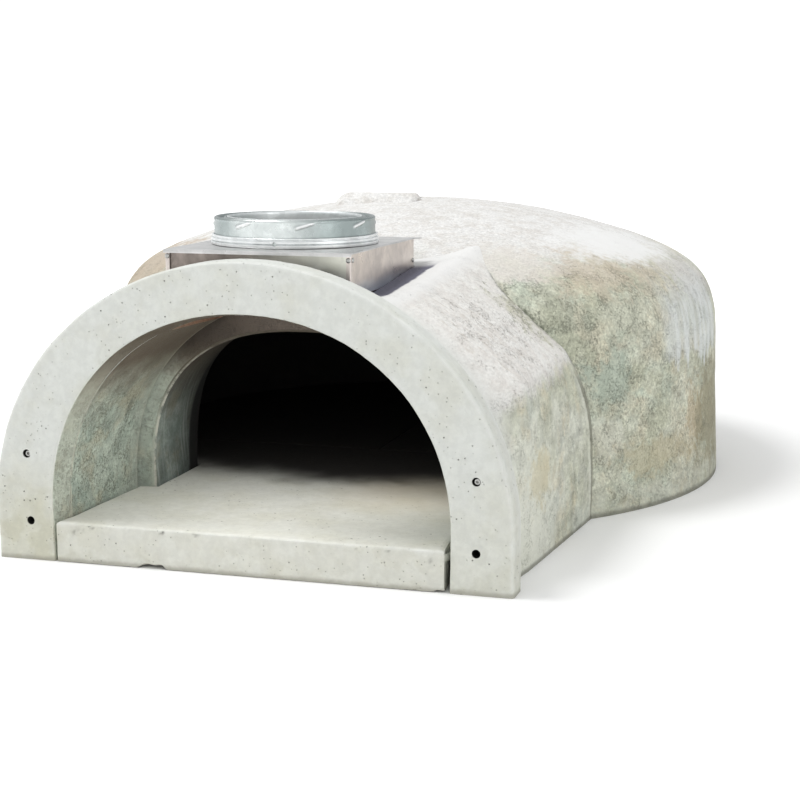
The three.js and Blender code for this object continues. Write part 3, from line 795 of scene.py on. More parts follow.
def neck_concrete(name):
    s = Shader(name)
    fall, turn = over_the_neck(s)
    color, mottle = rough_base(s, fall, NECK_TONES, s.stretched(s.place, (1, 0.5, 1)), 0.6)
    # painted light: the front of the side wall is paler low down, as if lit from the floor
    floor_bounce_light = s.behind(360, 140) * s.z.fade(0.26, 0.06) * 0.8
    edge = (s.noise(30, 4, 0.7) - 0.5) * 0.16
    facet = (turn + edge).fade(0.47, 0.545)
    pale = s.mix(s.noise(24, 5, 0.7).fade(0.40, 0.64), (0.72, 0.71, 0.68), (0.645, 0.62, 0.585))
    pale = s.shaded(pale, mottle.fade(0.3, 0.7), 0.90, 1.06)
    scrape = s.noise(8, 3, 0.65, at=s.stretched(fall, (1, 1, 0.35))).fade(0.50, 0.64)
    worn = scrape * s.blotch((310, 200, 340), (110, 95, 90), 12) * facet
    color = s.over(
        color,
        (floor_bounce_light, (0.68, 0.69, 0.61)),
        (facet, pale),
        (worn * 0.5, (0.48, 0.43, 0.37)),
    )
    color = pits(s, color, turn.fade(0.62, 0.46) * 0.08 + 0.06, 0.28)
    spots = s.blotch((320, 230, 345), (95, 110, 80), 10) * facet
    color = pits(s, color, spots * 0.22, 0.35, (0.32, 0.29, 0.25))
    by_dome = s.blotch((330, 480, 350), (75, 135, 75), 12)
    color = s.mix(by_dome * 0.85, color, (0.50, 0.49, 0.385))
    color = pits(s, color, by_dome * 0.5, 0.5)
    near_arch = s.behind(112, 60) * turn.fade(0.15, 0.5)
    ridge = (turn + edge * 0.5).fade(0.98, 1.06)
    yellow = s.blotch((400, 200, 130), (50, 60, 55))
    # the shade that lies along the right of the flue box
    aside = (s.x + s.noise(24, 3) * -0.010).fade(0.180, 0.173) * s.x.fade(0.0, 0.1)
    strength = s.behind(392, 386) * 0.2 + 0.75
    beside = aside * s.behind(425, 360) * s.z.fade(0.38, 0.39) * strength
    # the joint against the dome, dark with dirt and painted shade, with a pale line beside it
    to_dome = round_the_dome(s)[1] - (DOME_FOOT - 2) * MM
    joint_dirt_and_shade = (to_dome + s.noise(12, 3, 0.7) * 0.006).fade(0.0105, 0.0070)
    upright = s.z.fade(0.27, 0.22)
    color = s.over(
        color,
        (near_arch * 0.85, (0.66, 0.67, 0.64)),
        (ridge * 0.85, (0.71, 0.71, 0.70)),
        (s.attribute("wear_and_highlight") * 0.7, (0.72, 0.715, 0.70)),
        (yellow * 0.4, (0.50, 0.42, 0.22)),
        # painted shade along the joint with the dome
        (s.attribute("grime_and_shade") * 0.8, (0.10, 0.11, 0.08)),
        (beside, (0.075, 0.075, 0.115)),
        (to_dome.fade(0.016, 0.009) * upright * 0.35, (0.66, 0.66, 0.58)),
        (joint_dirt_and_shade * upright * 0.7, (0.14, 0.14, 0.10)),
        # painted contact shade at the foot
        (s.z.fade(0.010, 0.003) * 0.75, FOOT_SHADE),
    )
    return s.done(color, mottle * 0.18 + 0.78)


def gallery_concrete(name):
    """The inside of the vent gallery: greenish mottled concrete, with painted shade towards the roof."""
    s = Shader(name)
    color, _ = rough_base(s, over_the_neck(s)[0], GALLERY_TONES, s.place)
    color = pits(s, color, 0.45, 0.65)
    rise = s.z + s.noise(50, 3) * 0.05
    ring = s.behind(258, 263) * s.z.fade(0.24, 0.32)
    band = s.behind(46, 43) * s.z.fade(0.36, 0.24)
    seam = abs(s.y - along(46)).fade(0.004, 0.002)
    seam = seam * s.noise(25, 3).fade(0.35, 0.55) * s.z.fade(0.34, 0.2)
    color = s.over(
        color,
        (s.behind(215, 240) * 0.4, (0.46, 0.50, 0.43)),
        # painted shade: darker towards the roof
        (rise.fade(0.19, 0.335) * 0.5, (0.30, 0.25, 0.18)),
        (rise.fade(0.25, 0.33) * 0.92, (0.085, 0.062, 0.04)),
        # painted shade at the top of the tunnel's end, by the throat
        (ring * 0.88, (0.022, 0.015, 0.010)),
        (band * 0.4, (0.50, 0.50, 0.41)),
        (seam * 0.6, (0.60, 0.59, 0.48)),
        (s.attribute("wear_and_highlight") * 0.3, (0.50, 0.49, 0.40)),
    )
    return s.done(color, 0.85)


def throat_concrete(name):
    """The throat ring: darker still, with pale drips down its sides; it goes darker upward and deeper
    in, as painted shade.
    """
    s = Shader(name)
    fall, _ = over_the_neck(s)
    color, mottle = rough_base(s, fall, THROAT_TONES, s.place)
    drip = s.noise(12, 3, 0.6, 0.2, at=s.stretched(fall, (1, 1, 0.04))).fade(0.52, 0.66)
    edge = along(RING_FRONT + 5)
    face = s.shaded(s.mix(mottle, (0.36, 0.40, 0.33), (0.44, 0.47, 0.39)), mottle, 0.7, 1.2)
    face = s.shaded(face, s.noise(45, 3, 0.6), 0.7, 1.25)
    rise = (s.z + s.noise(50, 3) * 0.05).fade(0.16, 0.31)
    worn = abs(s.y - edge).fade(0.0026, 0.0014) * s.noise(26, 4, 0.65).fade(0.34, 0.56)
    color = s.over(
        color,
        (drip * 0.5, (0.46, 0.50, 0.46)),
        (s.y.fade(edge, along(RING_FRONT + 3)) * 0.9, face),
        (rise * 0.95, (0.055, 0.040, 0.026)),
        (s.behind(330, 450) * 0.8, (0.02, 0.02, 0.018)),
        (s.behind(398, 408), (0.010, 0.010, 0.009)),
        (worn * s.z.fade(0.335, 0.22) * 0.75, (0.56, 0.55, 0.47)),
    )
    return s.done(color, 0.85)


# painted shade: near black for the inside of the dome
def interior_shade(name):
    s = Shader(name)
    color = s.mix(s.noise(80, 4, 0.6), (0.012, 0.012, 0.012), (0.03, 0.028, 0.025))
    s.raise_by(s.noise(10, 4, 0.7))
    return s.done(color, 0.95)


# ---- Metal ----


def sheet_metal(name, light, dark, roughness, spangle=14.0, warp=0.5, lower=None, ends=None):
    """Bright sheet with a faint spangle, smudges and slight dents.

    lower is a height in metres and the tint below it. ends is the x where another tint
    starts, the x where it is full, the tint, and whether it comes in on both sides.
    """
    s = Shader(name)
    _, tone, glint = s.cells(spangle)
    smudge = s.noise(45, 4, 0.6, 0.5).fade(0.35, 0.7)
    color = s.mix(smudge, light, dark)
    if ends:
        start, end, tint, both = ends
        aside = abs(s.x) if both else s.x
        color = s.mix((aside + s.noise(40, 3) * 0.03).fade(start, end), color, tint)
    color = s.shaded(color, tone, 0.93, 1.03)
    if lower:
        level, tint = lower
        edge = s.z + (s.noise(50, 2, 0.5) - 0.5) * 0.012
        color = s.mix(edge.fade(level + 0.013, level - 0.011) * 0.92, color, tint)
    # painted glint on the raised lock embossments
    raised_glint = s.attribute("wear_and_highlight")
    color = s.mix(raised_glint, color, (0.93, 0.94, 0.94))
    brushed = s.noise(1.5, 2, 0.6, at=s.stretched(s.place, (1, 1, 0.15)))
    s.raise_by(s.noise(60, 2, 0.4) * warp, brushed * 0.012)
    return s.done(color, smudge * 0.12 + roughness + glint * 0.04 + raised_glint * 0.35, 1.0)


def bolt_metal(name):
    s = Shader(name)
    worn = s.noise(3, 3, 0.6)
    return s.done(s.mix(worn, (0.62, 0.62, 0.60), (0.40, 0.40, 0.38)), worn * 0.25 + 0.25, 1.0)


# painted shade for the hearth deep inside the oven
HEARTH_SHADE = (0.012, 0.010, 0.008)
SLAB_PALE = (0.635, 0.64, 0.60)
SLAB_WARM = (0.54, 0.535, 0.45)
# painted reflection: the stainless sides turn bluish low down, mirroring the shaded roof
BLUISH_FOOT = (0.418, (0.92, 0.97, 1.0))
# painted reflection: the collar darkens towards its sides
DARK_SIDES = (0.035, 0.11, (0.29, 0.335, 0.33), True)
PALE_END = (-0.05, 0.14, (0.68, 0.68, 0.61), False)
ZINC = ((0.68, 0.72, 0.71), (0.60, 0.64, 0.63))
BRIGHT_ZINC = ((0.91, 0.93, 0.93), (0.79, 0.81, 0.81))
LINER_STEEL = ((0.80, 0.83, 0.83), (0.66, 0.70, 0.70))
WARM_STEEL = ((0.70, 0.63, 0.58), (0.56, 0.51, 0.48))
# a darker copy of the stainless for the box's front and rear sheets: painted reflection
DARK_STEEL = ((0.36, 0.31, 0.28), (0.22, 0.19, 0.17))

materials = {
    "arch": smooth_concrete("arch_concrete", PALE, WARM, 0.3, holes=True),
    "slab": smooth_concrete("slab_concrete", SLAB_PALE, SLAB_WARM, 0.057, (300, 480, HEARTH_SHADE)),
    "neck": neck_concrete("neck_concrete"),
    "dome": dome_concrete("dome_concrete"),
    "gallery": gallery_concrete("gallery_concrete"),
    "throat": throat_concrete("throat_concrete"),
    "interior_shade": interior_shade("interior_shade"),
    "galvanised": sheet_metal("galvanised", (0.72, 0.71, 0.70), (0.60, 0.60, 0.59), 0.26),
    "collar": sheet_metal("collar_zinc", *ZINC, 0.22, 9, 0.05, None, DARK_SIDES),
    "base_ring": sheet_metal("base_ring_zinc", *BRIGHT_ZINC, 0.30, 9, 0.05),
    "liner": sheet_metal("liner_steel", *LINER_STEEL, 0.32, 9, 0.1),
    "stainless": sheet_metal("stainless", *WARM_STEEL, 0.26, 14, 0.15, BLUISH_FOOT),
    "front_panel": sheet_metal("front_panel", *DARK_STEEL, 0.3, 14, 0.3, None, PALE_END),
    "tinted": sheet_metal("tinted_sheet", (0.30, 0.19, 0.13), (0.16, 0.10, 0.07), 0.45),
    "bolt": bolt_metal("bolt_metal"),
}

# ---- Front arch ----


def arch_casting():
    """The front arch, skinned round its section from foot to foot."""
    loop = []
    bend = np.linspace(0, math.pi / 2, 8)
    inner, outer = MOUTH_FRONT + GROW * SMALL_EDGE, ARCH_OUTER - GROW * ARCH_EDGE
    for share in np.linspace(0, 1, 28)[1:-1]:
        loop.append((inner + (outer - inner) * share, 0.0))
    for a in bend:
        inset = ARCH_EDGE * (1 - math.sin(a))
        loop.append((ARCH_OUTER - GROW * inset, ARCH_EDGE * (1 - math.cos(a))))
    loop += [(ARCH_OUTER, y) for y in np.linspace(ARCH_EDGE, ARCH_DEPTH - SMALL_EDGE, 8)[1:-1]]
    for a in bend[::2]:
        inset = SMALL_EDGE * (1 - math.cos(a))
        loop.append((ARCH_OUTER - GROW * inset, ARCH_DEPTH - SMALL_EDGE * (1 - math.sin(a))))
    outer = ARCH_OUTER - GROW * SMALL_EDGE
    for share in np.linspace(0, 1, 8)[1:-1]:
        loop.append((outer + (MOUTH_BACK - outer) * share, ARCH_DEPTH))
    for y in np.linspace(ARCH_DEPTH, SMALL_EDGE, 12):
        loop.append((MOUTH_FRONT + (MOUTH_BACK - MOUTH_FRONT) * (y / ARCH_DEPTH), y))
    for a in bend[1:]:
        inset = SMALL_EDGE * (1 - math.cos(a))
        loop.append((MOUTH_FRONT + GROW * inset, SMALL_EDGE * (1 - math.sin(a))))
    grid = [np.insert(arch_outline(arch, 20, 120), 1, y, axis=1) for arch, y in loop]
    casting = skin("arch_casting", np.stack(grid), wrap_rows=True)
    roughen(casting, [(60, 0.5, 2), (12, 0.25, 2)])
    for x, z in FACE_HOLES.values():
        cut(casting, bar((x, -OVERCUT, z), (x, 60, z), FACE_HOLE_RADIUS, 32))
    points = oven_points(casting)
    outside = arch_distance(points, ARCH_OUTER)
    # the front rounding and the rear edge are painted pale: wear with painted highlight
    crest = np.exp(-(((outside - 3) / 3.0) ** 2)) * smoothstep(points[:, 1], 9, 2)
    rear = np.exp(-((points[:, 1] - ARCH_DEPTH + 2) ** 2) / 12) * (outside < 12)
    wobble = 0.6 + 0.5 * noise_at(points, 40, 4, 2)
    paint(casting, "wear_and_highlight", np.clip((crest * 0.9 + rear * 0.6) * wobble, 0, 1))
    # painted shade: the mouth's inner edge is darker
    inner = (arch_distance(points, MOUTH_FRONT) > -9) * smoothstep(points[:, 1], 1.5, 5)
    paint(casting, "inner", inner)

    def choose(centres, normals):
        band = faces_inward(centres, normals) & (np.abs(normals[:, 1]) < 0.35)
        band &= centres[:, 1] > SMALL_EDGE
        mouth = (centres[:, 2] > 3) & (arch_distance(centres, MOUTH_FRONT) > -12)
        return np.where(band & mouth, 1, 0)

    looks = ["arch", "gallery"]
    finish(casting, ["front_arch"], looks, choose=choose)


def faces_inward(centres, normals):
    """Whether each face looks towards the middle of the mouth and the tunnel."""
    return centres[:, 0] * normals[:, 0] + (centres[:, 2] - 100) * normals[:, 2] < 0


def arch_distance(points, arch):
    """How far inside an arch outline each point is, in millimetres, roughly."""
    _, half, spring, rise, power = arch
    x = np.abs(points[:, 0]) / half
    z = np.clip(points[:, 2] - spring, 0, None) / rise
    return (1 - (x**power + z**power) ** (1 / power)) * half


arch_casting()

# ---- Dome ----

DOME_ROUGHNESS = [(150, 1.3, 2), (38, 0.7, 3)]


def dome_solid(name, inset=0.0, bottom=0.0, sides=420, step=8.0):
    solid = turned(name, dome_profile(inset, bottom, step), DOME_Y, sides)
    points = oven_points(solid)
    points[:, 0] = DOME_X + points[:, 0] * DOME_NARROWING
    set_points(solid, points)
    return solid


def crown_boss():
    """The half-round lifting boss, with a long sloped end on the left."""
    r = BOSS["radius"]
    z = BOSS["top"] - r
    length = BOSS["right"] - BOSS["left"]
    shoulder = BOSS["taper"] / length
    radii = [(0, BOSS["tip"]), (shoulder * 0.5, (BOSS["tip"] + r) / 2 + 1.5)]
    radii += [(shoulder, r - 0.7), (shoulder * 1.2, r), (0.95, r), (0.965, r - 1.0), (1, r - 8)]
    start = (BOSS["left"], BOSS["y"], z)
    end = (BOSS["right"], BOSS["y"], z)
    return rod("boss", start, end, radii, 64)


def through_loft(name, stations, arch_at):
    return loft(name, [arch_outline(arch_at(y), 6, 50, -OVERCUT) for y in stations], stations)


def dome_radius(points):
    return np.hypot((points[:, 0] - DOME_X) / DOME_NARROWING, points[:, 1] - DOME_Y)


def neck_distance(points):
    """How far each point is from the neck's surface, measured across the oven."""
    found = np.full(len(points), 200.0)
    for y in np.arange(270, 500, 6.0):
        here = np.flatnonzero(np.abs(points[:, 1] - y) <= 3)
        if len(here):
            line = resampled(neck_outline(y), 700)
            gaps = points[here][:, None, ::2] - line[None]
            found[here] = np.hypot(gaps[..., 0], gaps[..., 1]).min(axis=1)
    return found


def dome_castings():
    outer = dome_solid("dome_outer")
    roughen(outer, DOME_ROUGHNESS)
    cavity = dome_solid("cavity", DOME_WALL, -OVERCUT, 160, 16)
    ring_back = DOME_Y - ROOF_JOIN
    ring = loft("ring", [arch_outline(RING_OUTER, 6, 50)] * 2, [RING_FRONT, ring_back])

    def throat_at(y):
        share = np.clip((y - RING_FRONT) / (THROAT_END - RING_FRONT), 0, 1)
        return THROAT_FRONT + (THROAT_BACK - THROAT_FRONT) * share

    throat_edge = 6.0
    stations = [RING_FRONT - 4, RING_FRONT, RING_FRONT + throat_edge]
    stations += list(np.linspace(RING_FRONT + 20, ring_back, 16))

    def eased_throat(y):
        flare = max(throat_edge - max(y - RING_FRONT, 0), 0)
        return throat_at(y) + GROW * flare * 0.7

    throat = through_loft("throat", stations, eased_throat)
    cut(join(outer, ring, crown_boss()), cavity, throat)
    half = JOINT / 8
    rear = copied(outer, "dome_rear_casting")
    outer.name = "dome_front_casting"
    beyond = 1700
    for casting, near, far in ((outer, DOME_SPLIT - half, beyond), (rear, 0, DOME_SPLIT + half)):
        cut(casting, block("half", (-CUT_REACH, near, -50), (CUT_REACH, far, CUT_REACH)))

    def choose(centres, normals):
        radius = dome_radius(centres)
        inner = np.interp(centres[:, 2], *dome_profile(DOME_WALL, 0, 16)[:, ::-1].T)
        inside = (radius < inner + 12) & (centres[:, 1] > 330)
        throat_zone = (centres[:, 1] < 445) & (np.abs(centres[:, 0]) < 346) & (radius > 430)
        ring_face = throat_zone & (normals[:, 1] < -0.9) & (centres[:, 1] < RING_FRONT + 2)
        throat_face = throat_zone & faces_inward(centres, normals)
        throat_face &= np.abs(centres[:, 0]) < 280
        chosen = np.where(inside, 2, 0)
        chosen = np.where(throat_face, 1, chosen)
        return np.where(ring_face, 3, chosen)

    for casting, node in ((outer, "dome_front"), (rear, "dome_rear")):
        paint(casting, "crevice", np.exp(-neck_distance(oven_points(casting)) / 9))
        looks = ["dome", "throat", "interior_shade", "gallery"]
        finish(casting, [node], looks, choose=choose)


dome_castings()

# ---- Neck ----


def neck_casting():
    front = ARCH_DEPTH + JOINT
    stations = np.concatenate([np.arange(front, NECK_END, 6.0), [NECK_END]])
    casting = loft("neck_casting", [neck_outline(y) for y in stations], stations)
    roughen(casting, [(110, 1.0, 2), (30, 0.5, 3)])
    clear = dome_solid("dome_clearance", -JOINT / 4, -OVERCUT)
    roughen(clear, DOME_ROUGHNESS)

    def tunnel_at(y):
        share = np.clip((y - front) / (TUNNEL_LENGTH - front), 0, 1)
        return MOUTH_BACK + (TUNNEL_END - MOUTH_BACK) * share

    ys = [front - OVERCUT] + list(np.linspace(front, TUNNEL_LENGTH + OVERCUT, 30))
    tunnel = through_loft("tunnel", ys, tunnel_at)
    pocket = RING_OUTER + GROW * JOINT
    ring_pocket = through_loft("pocket", [TUNNEL_LENGTH, NECK_END + OVERCUT], lambda y: pocket)
    gap = 1.0
    opening = block(
        "flue_opening",
        (-SKIRT_HALF - gap, SKIRT_FRONT - gap, 260),
        (SKIRT_HALF + gap, TUNNEL_LENGTH + 1, BOX_SEAT + OVERCUT),
    )
    seat = block(
        "box_seat",
        (-BOX_HALF - gap, BOX_FRONT - gap, BOX_SEAT),
        (BOX_HALF + gap, BOX_BACK + gap, 560),
    )
    cut(casting, clear, tunnel, ring_pocket, opening, seat)
    for x, z in FACE_HOLES.values():
        cut(casting, bar((x, front - 8, z), (x, 120, z), FACE_HOLE_RADIUS))

    def choose(centres, normals):
        inward = faces_inward(centres, normals)
        inward &= (np.abs(centres[:, 0]) < 310) & (centres[:, 1] < 262)
        return np.where(inward & (centres[:, 2] < 405), 1, 0)

    points = oven_points(casting)
    wobble = np.clip(0.6 + 0.7 * noise_at(points, 45, 6, 2), 0, 1)
    depth = points[:, 1] - ARCH_DEPTH
    ridge_x, ridge_z = (start + slope * depth for start, slope in zip(*NECK_HIGH))
    from_crease = np.hypot(np.abs(points[:, 0]) - ridge_x, points[:, 2] - ridge_z)
    # the crease between roof and facet, and the lip at the tunnel's end, are painted pale: painted
    # highlight with wear
    band = np.exp(-((from_crease / 20) ** 2)) * smoothstep(points[:, 1], 90, 160)
    step = np.exp(-(((points[:, 1] - TUNNEL_LENGTH) / 4) ** 2))
    step *= arch_distance(points, TUNNEL_END) > -6
    paint(casting, "wear_and_highlight", np.clip(band * wobble + step, 0, 1))
    height = points[:, 2]
    # painted shade along the joint with the dome
    gap_to_dome = dome_radius(points) - np.interp(height, *dome_profile()[:, ::-1].T)
    joint_shade = np.exp(-((gap_to_dome / 5) ** 2)) * smoothstep(height, 225, 290)
    joint_shade *= np.clip(0.55 + 1.3 * noise_at(points, 34, 7, 2), 0, 1) * smoothstep(height, 418, 396)
    paint(casting, "grime_and_shade", np.clip(joint_shade * 1.3, 0, 1))
    looks = ["neck", "gallery"]
    finish(casting, ["vent_housing"], looks, choose=choose)


neck_casting()

# ---- Hearth ----

DENTS = [
    # x, z of the middle on the front face, radius, depth
    (-277, 47, 3.0, 3.0),
    (-271, 54, 2.2, 2.0),
    (-262, 51, 1.8, 1.5),
    (282, 46, 2.6, 2.5),
    (284, 38, 2.0, 2.0),
]


def slab_grid(left, right, near, far, columns, step):
    """Points round a slab: the loop runs up the front face, over the top and down behind."""
    bend = np.linspace(0, math.pi / 2, 7)
    loop = [(near, z) for z in np.linspace(0, SLAB_TOP - SLAB_EDGE, 15)]
    for a in bend[1:]:
        drop = SLAB_EDGE * (1 - math.sin(a))
        loop.append((near + SLAB_EDGE * (1 - math.cos(a)), SLAB_TOP - drop))
    inner = np.arange(near + SLAB_EDGE + step, far - 3, step)
    loop += [(y, SLAB_TOP) for y in inner]
    loop += [(far - 1, SLAB_TOP - 0.4), (far, SLAB_TOP - 2), (far, 0)]
    loop += [(y, 0) for y in inner[::-6]]
    ends = 2.0
    shares = np.linspace(0, 1, columns)
    grid = []
    for y, z in loop:
        x0, x1 = left(y), right(y)
        x = x0 + (x1 - x0) * shares
        edge = np.minimum(x - x0, x1 - x)
        drop = np.clip(1 - edge / ends, 0, 1) ** 2 * ends
        grid.append(np.stack([x, np.full(columns, y), z - drop * (z > 5)], -1))
    return np.stack(grid)


def slab_front_left(y):
    if y < TUNNEL_LENGTH - 2:
        depths = (0, ARCH_DEPTH, TUNNEL_LENGTH)
        widths = (MOUTH_FRONT[0], MOUTH_BACK[0], TUNNEL_END[0])
        return SLAB_LEFT_GAP - np.interp(y, depths, widths)
    throat = THROAT_BACK[0] - 5
    bulge = SLAB_RADIUS**2 - (y - DOME_Y) ** 2
    return -max(throat, math.sqrt(max(bulge, 0)))


def slab_front_right(y):
    return -slab_front_left(y) - (SLAB_RIGHT_GAP - SLAB_LEFT_GAP) * (y < TUNNEL_LENGTH - 2)


def front_slab():
    grid = slab_grid(slab_front_left, slab_front_right, 0, SLAB_SEAM - JOINT / 2, 150, 6)
    front = np.abs(grid[..., 1]) < 0.5
    bottom = front & (grid[..., 2] < 1)
    x, z = grid[..., 0], grid[..., 2]
    chip = 5.5 * smoothstep(x, -178, -160) * smoothstep(x, -124, -136)
    chip += 3.0 * smoothstep(x, 284, 292)
    ragged = 1.2 * (0.5 + 0.5 * np.sin(x * 0.31) * np.sin(x * 0.083 + 1))
    lift = np.where(front, np.clip(1 - z / 12, 0, 1) * (chip + ragged), 0)
    grid[..., 1] += np.where(bottom, 0.6 * (chip + ragged), 0)
    grid[..., 2] += lift
    for dx, dz, radius, depth in DENTS:
        reach = np.hypot(x - dx, z - dz) / radius
        grid[..., 1] += np.where(front, depth * np.exp(-(reach**2)), 0)
    slab = skin("hearth_slab_front", grid, wrap_rows=True)
    roughen(slab, [(70, 0.5, 2), (14, 0.3, 2)])
    points = oven_points(slab)
    # the top front edge is painted pale: wear with painted highlight
    crest = np.exp(-((points[:, 1] - 2) ** 2) / 14) * np.exp(-((points[:, 2] - 60) ** 2) / 10)
    paint(slab, "wear_and_highlight", np.clip(crest * (0.5 + 0.7 * noise_at(points, 35, 8, 2)), 0, 1))
    # the dents and the nicks by the top edge are painted dark: painted shade in the hollows, with grime
    grime_and_shade = np.zeros(len(points))
    for dx, dz, radius, depth in DENTS:
        reach = np.hypot(points[:, 0] - dx, points[:, 2] - dz) / radius
        grime_and_shade += np.exp(-(reach**2)) * (points[:, 1] < 5) * 0.7
    nicks = smoothstep(noise_at(points, 16, 9, 2), 0.42, 0.6)
    grime_and_shade += nicks * np.exp(-((points[:, 2] - 57) ** 2) / 8) * (points[:, 1] < 6) * 0.8
    paint(slab, "grime_and_shade", np.clip(grime_and_shade, 0, 1))
    finish(slab, ["hearth_front"], ["slab"])


def rear_slab(side, name, node):
    def reach(y):
        return math.sqrt(max(SLAB_RADIUS**2 - (y - DOME_Y) ** 2, 1.0))

    near, far = SLAB_SEAM + JOINT / 2, DOME_Y + SLAB_RADIUS - 1.0
    grid = slab_grid(lambda y: JOINT / 2, reach, near, far, 60, 10)
    grid[..., 0] *= side
    slab = skin(name, grid, wrap_rows=True)
    roughen(slab, [(70, 0.5, 2)])
    for layer in ("wear_and_highlight", "grime_and_shade"):
        paint(slab, layer, np.zeros(len(slab.data.vertices)))
    finish(slab, [node], ["slab"])


front_slab()
rear_slab(-1, "hearth_slab_rear_left", "hearth_rear_left")
rear_slab(1, "hearth_slab_rear_right", "hearth_rear_right")

# ---- Flue box ----

TILT = 0.014  # the box sits a little higher in front
TILT_Y = 355.0


def tilted(obj):
    """Leans a piece of the flue back by the box's slight tilt."""
    points = oven_points(obj)
    points[:, 2] += (TILT_Y - points[:, 1]) * TILT
    set_points(obj, points)


def rounded_path(corners, radius, steps=5):
    """A plan polyline with its inner corners rounded."""
    corners = [np.array(c, dtype=float) for c in corners]
    path = [corners[0]]
    for before, corner, after in zip(corners, corners[1:], corners[2:]):
        start = corner + (before - corner) / np.hypot(*(before - corner)) * radius
        end = corner + (after - corner) / np.hypot(*(after - corner)) * radius
        for t in np.linspace(0, 1, steps):
            path.append((1 - t) ** 2 * start + 2 * (1 - t) * t * corner + t * t * end)
    return np.array(path + [corners[-1]])


def thickened(path, thickness):
    """A closed loop round a polyline, half the thickness to each side."""
    direction = np.gradient(path, axis=0)
    direction /= np.hypot(*direction.T)[:, None]
    side = np.stack([-direction[:, 1], direction[:, 0]], -1) * thickness / 2
    return np.vstack([path + side, (path - side)[::-1]])


def evened(path, step):
    """More points along the long stretches of a polyline."""
    points = [path[0]]
    for a, b in zip(path, path[1:]):
        count = max(int(np.hypot(*(b - a)) / step), 1)
        points += [a + (b - a) * k / count for k in range(1, count + 1)]
    return np.array(points)


def bent_sheet(name, corners, low, high, bend=2.0, dents=0.5):
    """A folded upright sheet: its plan path raised from low to high, slightly buckled."""
    path = evened(rounded_path(corners, bend), 8.0)
    loop = thickened(path, SHEET)
    levels = np.linspace(low, high, 9)
    grid = np.stack([np.insert(loop, 2, z, axis=1) for z in levels])
    sheet = skin(name, grid, wrap_columns=True)
    points = oven_points(sheet)
    buckle = dents * noise_at(points * [1, 1, 0.6], 90, 3, 2)
    middle = np.sin(np.clip((points[:, 2] - low) / (high - low), 0, 1) * math.pi)
    points[:, 0] += buckle * middle * (np.abs(points[:, 0]) > BOX_HALF - 4)
    points[:, 1] += buckle * middle * (np.abs(points[:, 0]) < BOX_HALF - 12)
    set_points(sheet, points)
    return sheet


def flue_box():
    top = BOX_TOP - 2.0
    low = BOX_SEAT + 0.6
    x1 = BOX_HALF - SHEET / 2
    x0 = BOX_HALF - FLANGE
    y0 = BOX_FRONT + SHEET / 2
    y1 = BOX_BACK - SHEET / 2
    for side, word in ((-1, "left"), (1, "right")):
        corners = [(side * x0, y0), (side * x1, y0), (side * x1, y1), (side * x0, y1)]
        panel = bent_sheet(f"flue_box_{word}_side", corners, low, top)
        tilted(panel)
        finish(panel, [f"flue_box_{word}_panel"], ["stainless"])
    reach = BOX_HALF - SHEET - 1.0
    for y, word in ((BOX_FRONT + SHEET + 2.0, "front"), (BOX_BACK - SHEET - 2.0, "rear")):
        panel = bent_sheet(f"flue_box_{word}_sheet", [(-reach, y), (reach, y)], low, top)
        tilted(panel)
        finish(panel, [f"flue_box_{word}_panel"], ["front_panel"])


def top_plate():
    """The box's lid: a flat sheet with a turned-down hem in front and low side lips."""
    reach = BOX_HALF + LIP
    front = BOX_FRONT - LIP - 2.0
    back = BOX_BACK + PLATE_TAIL
    columns, rows, radius = 45, 44, 0.9
    ys = [front, front + 0.35, front + radius, *np.linspace(front + 3, back, rows)]
    drops = [radius, 0.25, 0] + [0.0] * rows
    flat = np.linspace(-reach + radius, reach - radius, columns)
    xs = np.array([-reach, -reach + 0.4, *flat, reach - 0.4, reach])
    side_drop = np.array([radius, 0.3, *np.zeros(columns), 0.3, radius])
    upper = []
    for y, drop in zip(ys, drops):
        z = BOX_TOP - np.maximum(side_drop, drop)
        upper.append(np.stack([xs, np.full(len(xs), y), z], -1))
    upper = np.stack(upper)
    lower = upper[::-1].copy()
    hem = smoothstep(lower[..., 1], front + 2.2, front + 1.2) * 3.6
    lower[..., 2] = BOX_TOP - 1.8 - hem
    grid = np.concatenate([upper, lower])
    plate = skin("flue_box_lid", grid, wrap_rows=True)
    points = oven_points(plate)
    points[:, 2] += np.clip(-0.5 + 0.6 * noise_at(points, 110, 2, 2), -0.6, 0.0)
    points[:, 2] -= 0.06 * np.clip(points[:, 1] - 385, 0, None)
    set_points(plate, points)
    hole = LINER_RADIUS + 3.0
    cut(plate, turned("hole", [(hole, BOX_TOP - 20), (hole, BOX_TOP + 20)], COLLAR_Y, 128))
    tilted(plate)
    finish(plate, ["flue_box_top_plate"], ["galvanised"])


def skirt():
    """The sleeve that hangs from the box into the gallery's roof."""
    low, high = (-SKIRT_HALF, SKIRT_FRONT, 300), (SKIRT_HALF, SKIRT_BACK, SKIRT_TOP)
    outer = block("flue_sleeve", low, high)
    inner = block(
        "bore",
        (-SKIRT_HALF + SHEET, SKIRT_FRONT + SHEET, 280),
        (SKIRT_HALF - SHEET, SKIRT_BACK - SHEET, SKIRT_TOP + OVERCUT),
    )

    def gallery_at(y):
        share = (y - ARCH_DEPTH) / (TUNNEL_LENGTH - ARCH_DEPTH)
        return MOUTH_BACK + (TUNNEL_END - MOUTH_BACK) * share

    gallery = through_loft("gallery_air", list(np.linspace(50, 262, 8)), gallery_at)
    cut(outer, inner, gallery)
    finish(outer, ["flue_skirt"], ["tinted"])


flue_box()
top_plate()
skirt()

# ---- Collar ----

LOCKS = 8
LOCK_START = math.radians(-18.0)
LOCK_HALF_TURN = math.radians(6.4)
LOCK_HEIGHT = 502.2
LOCK_CLIMB = 3.9
LOCK_DEPTH = 2.0
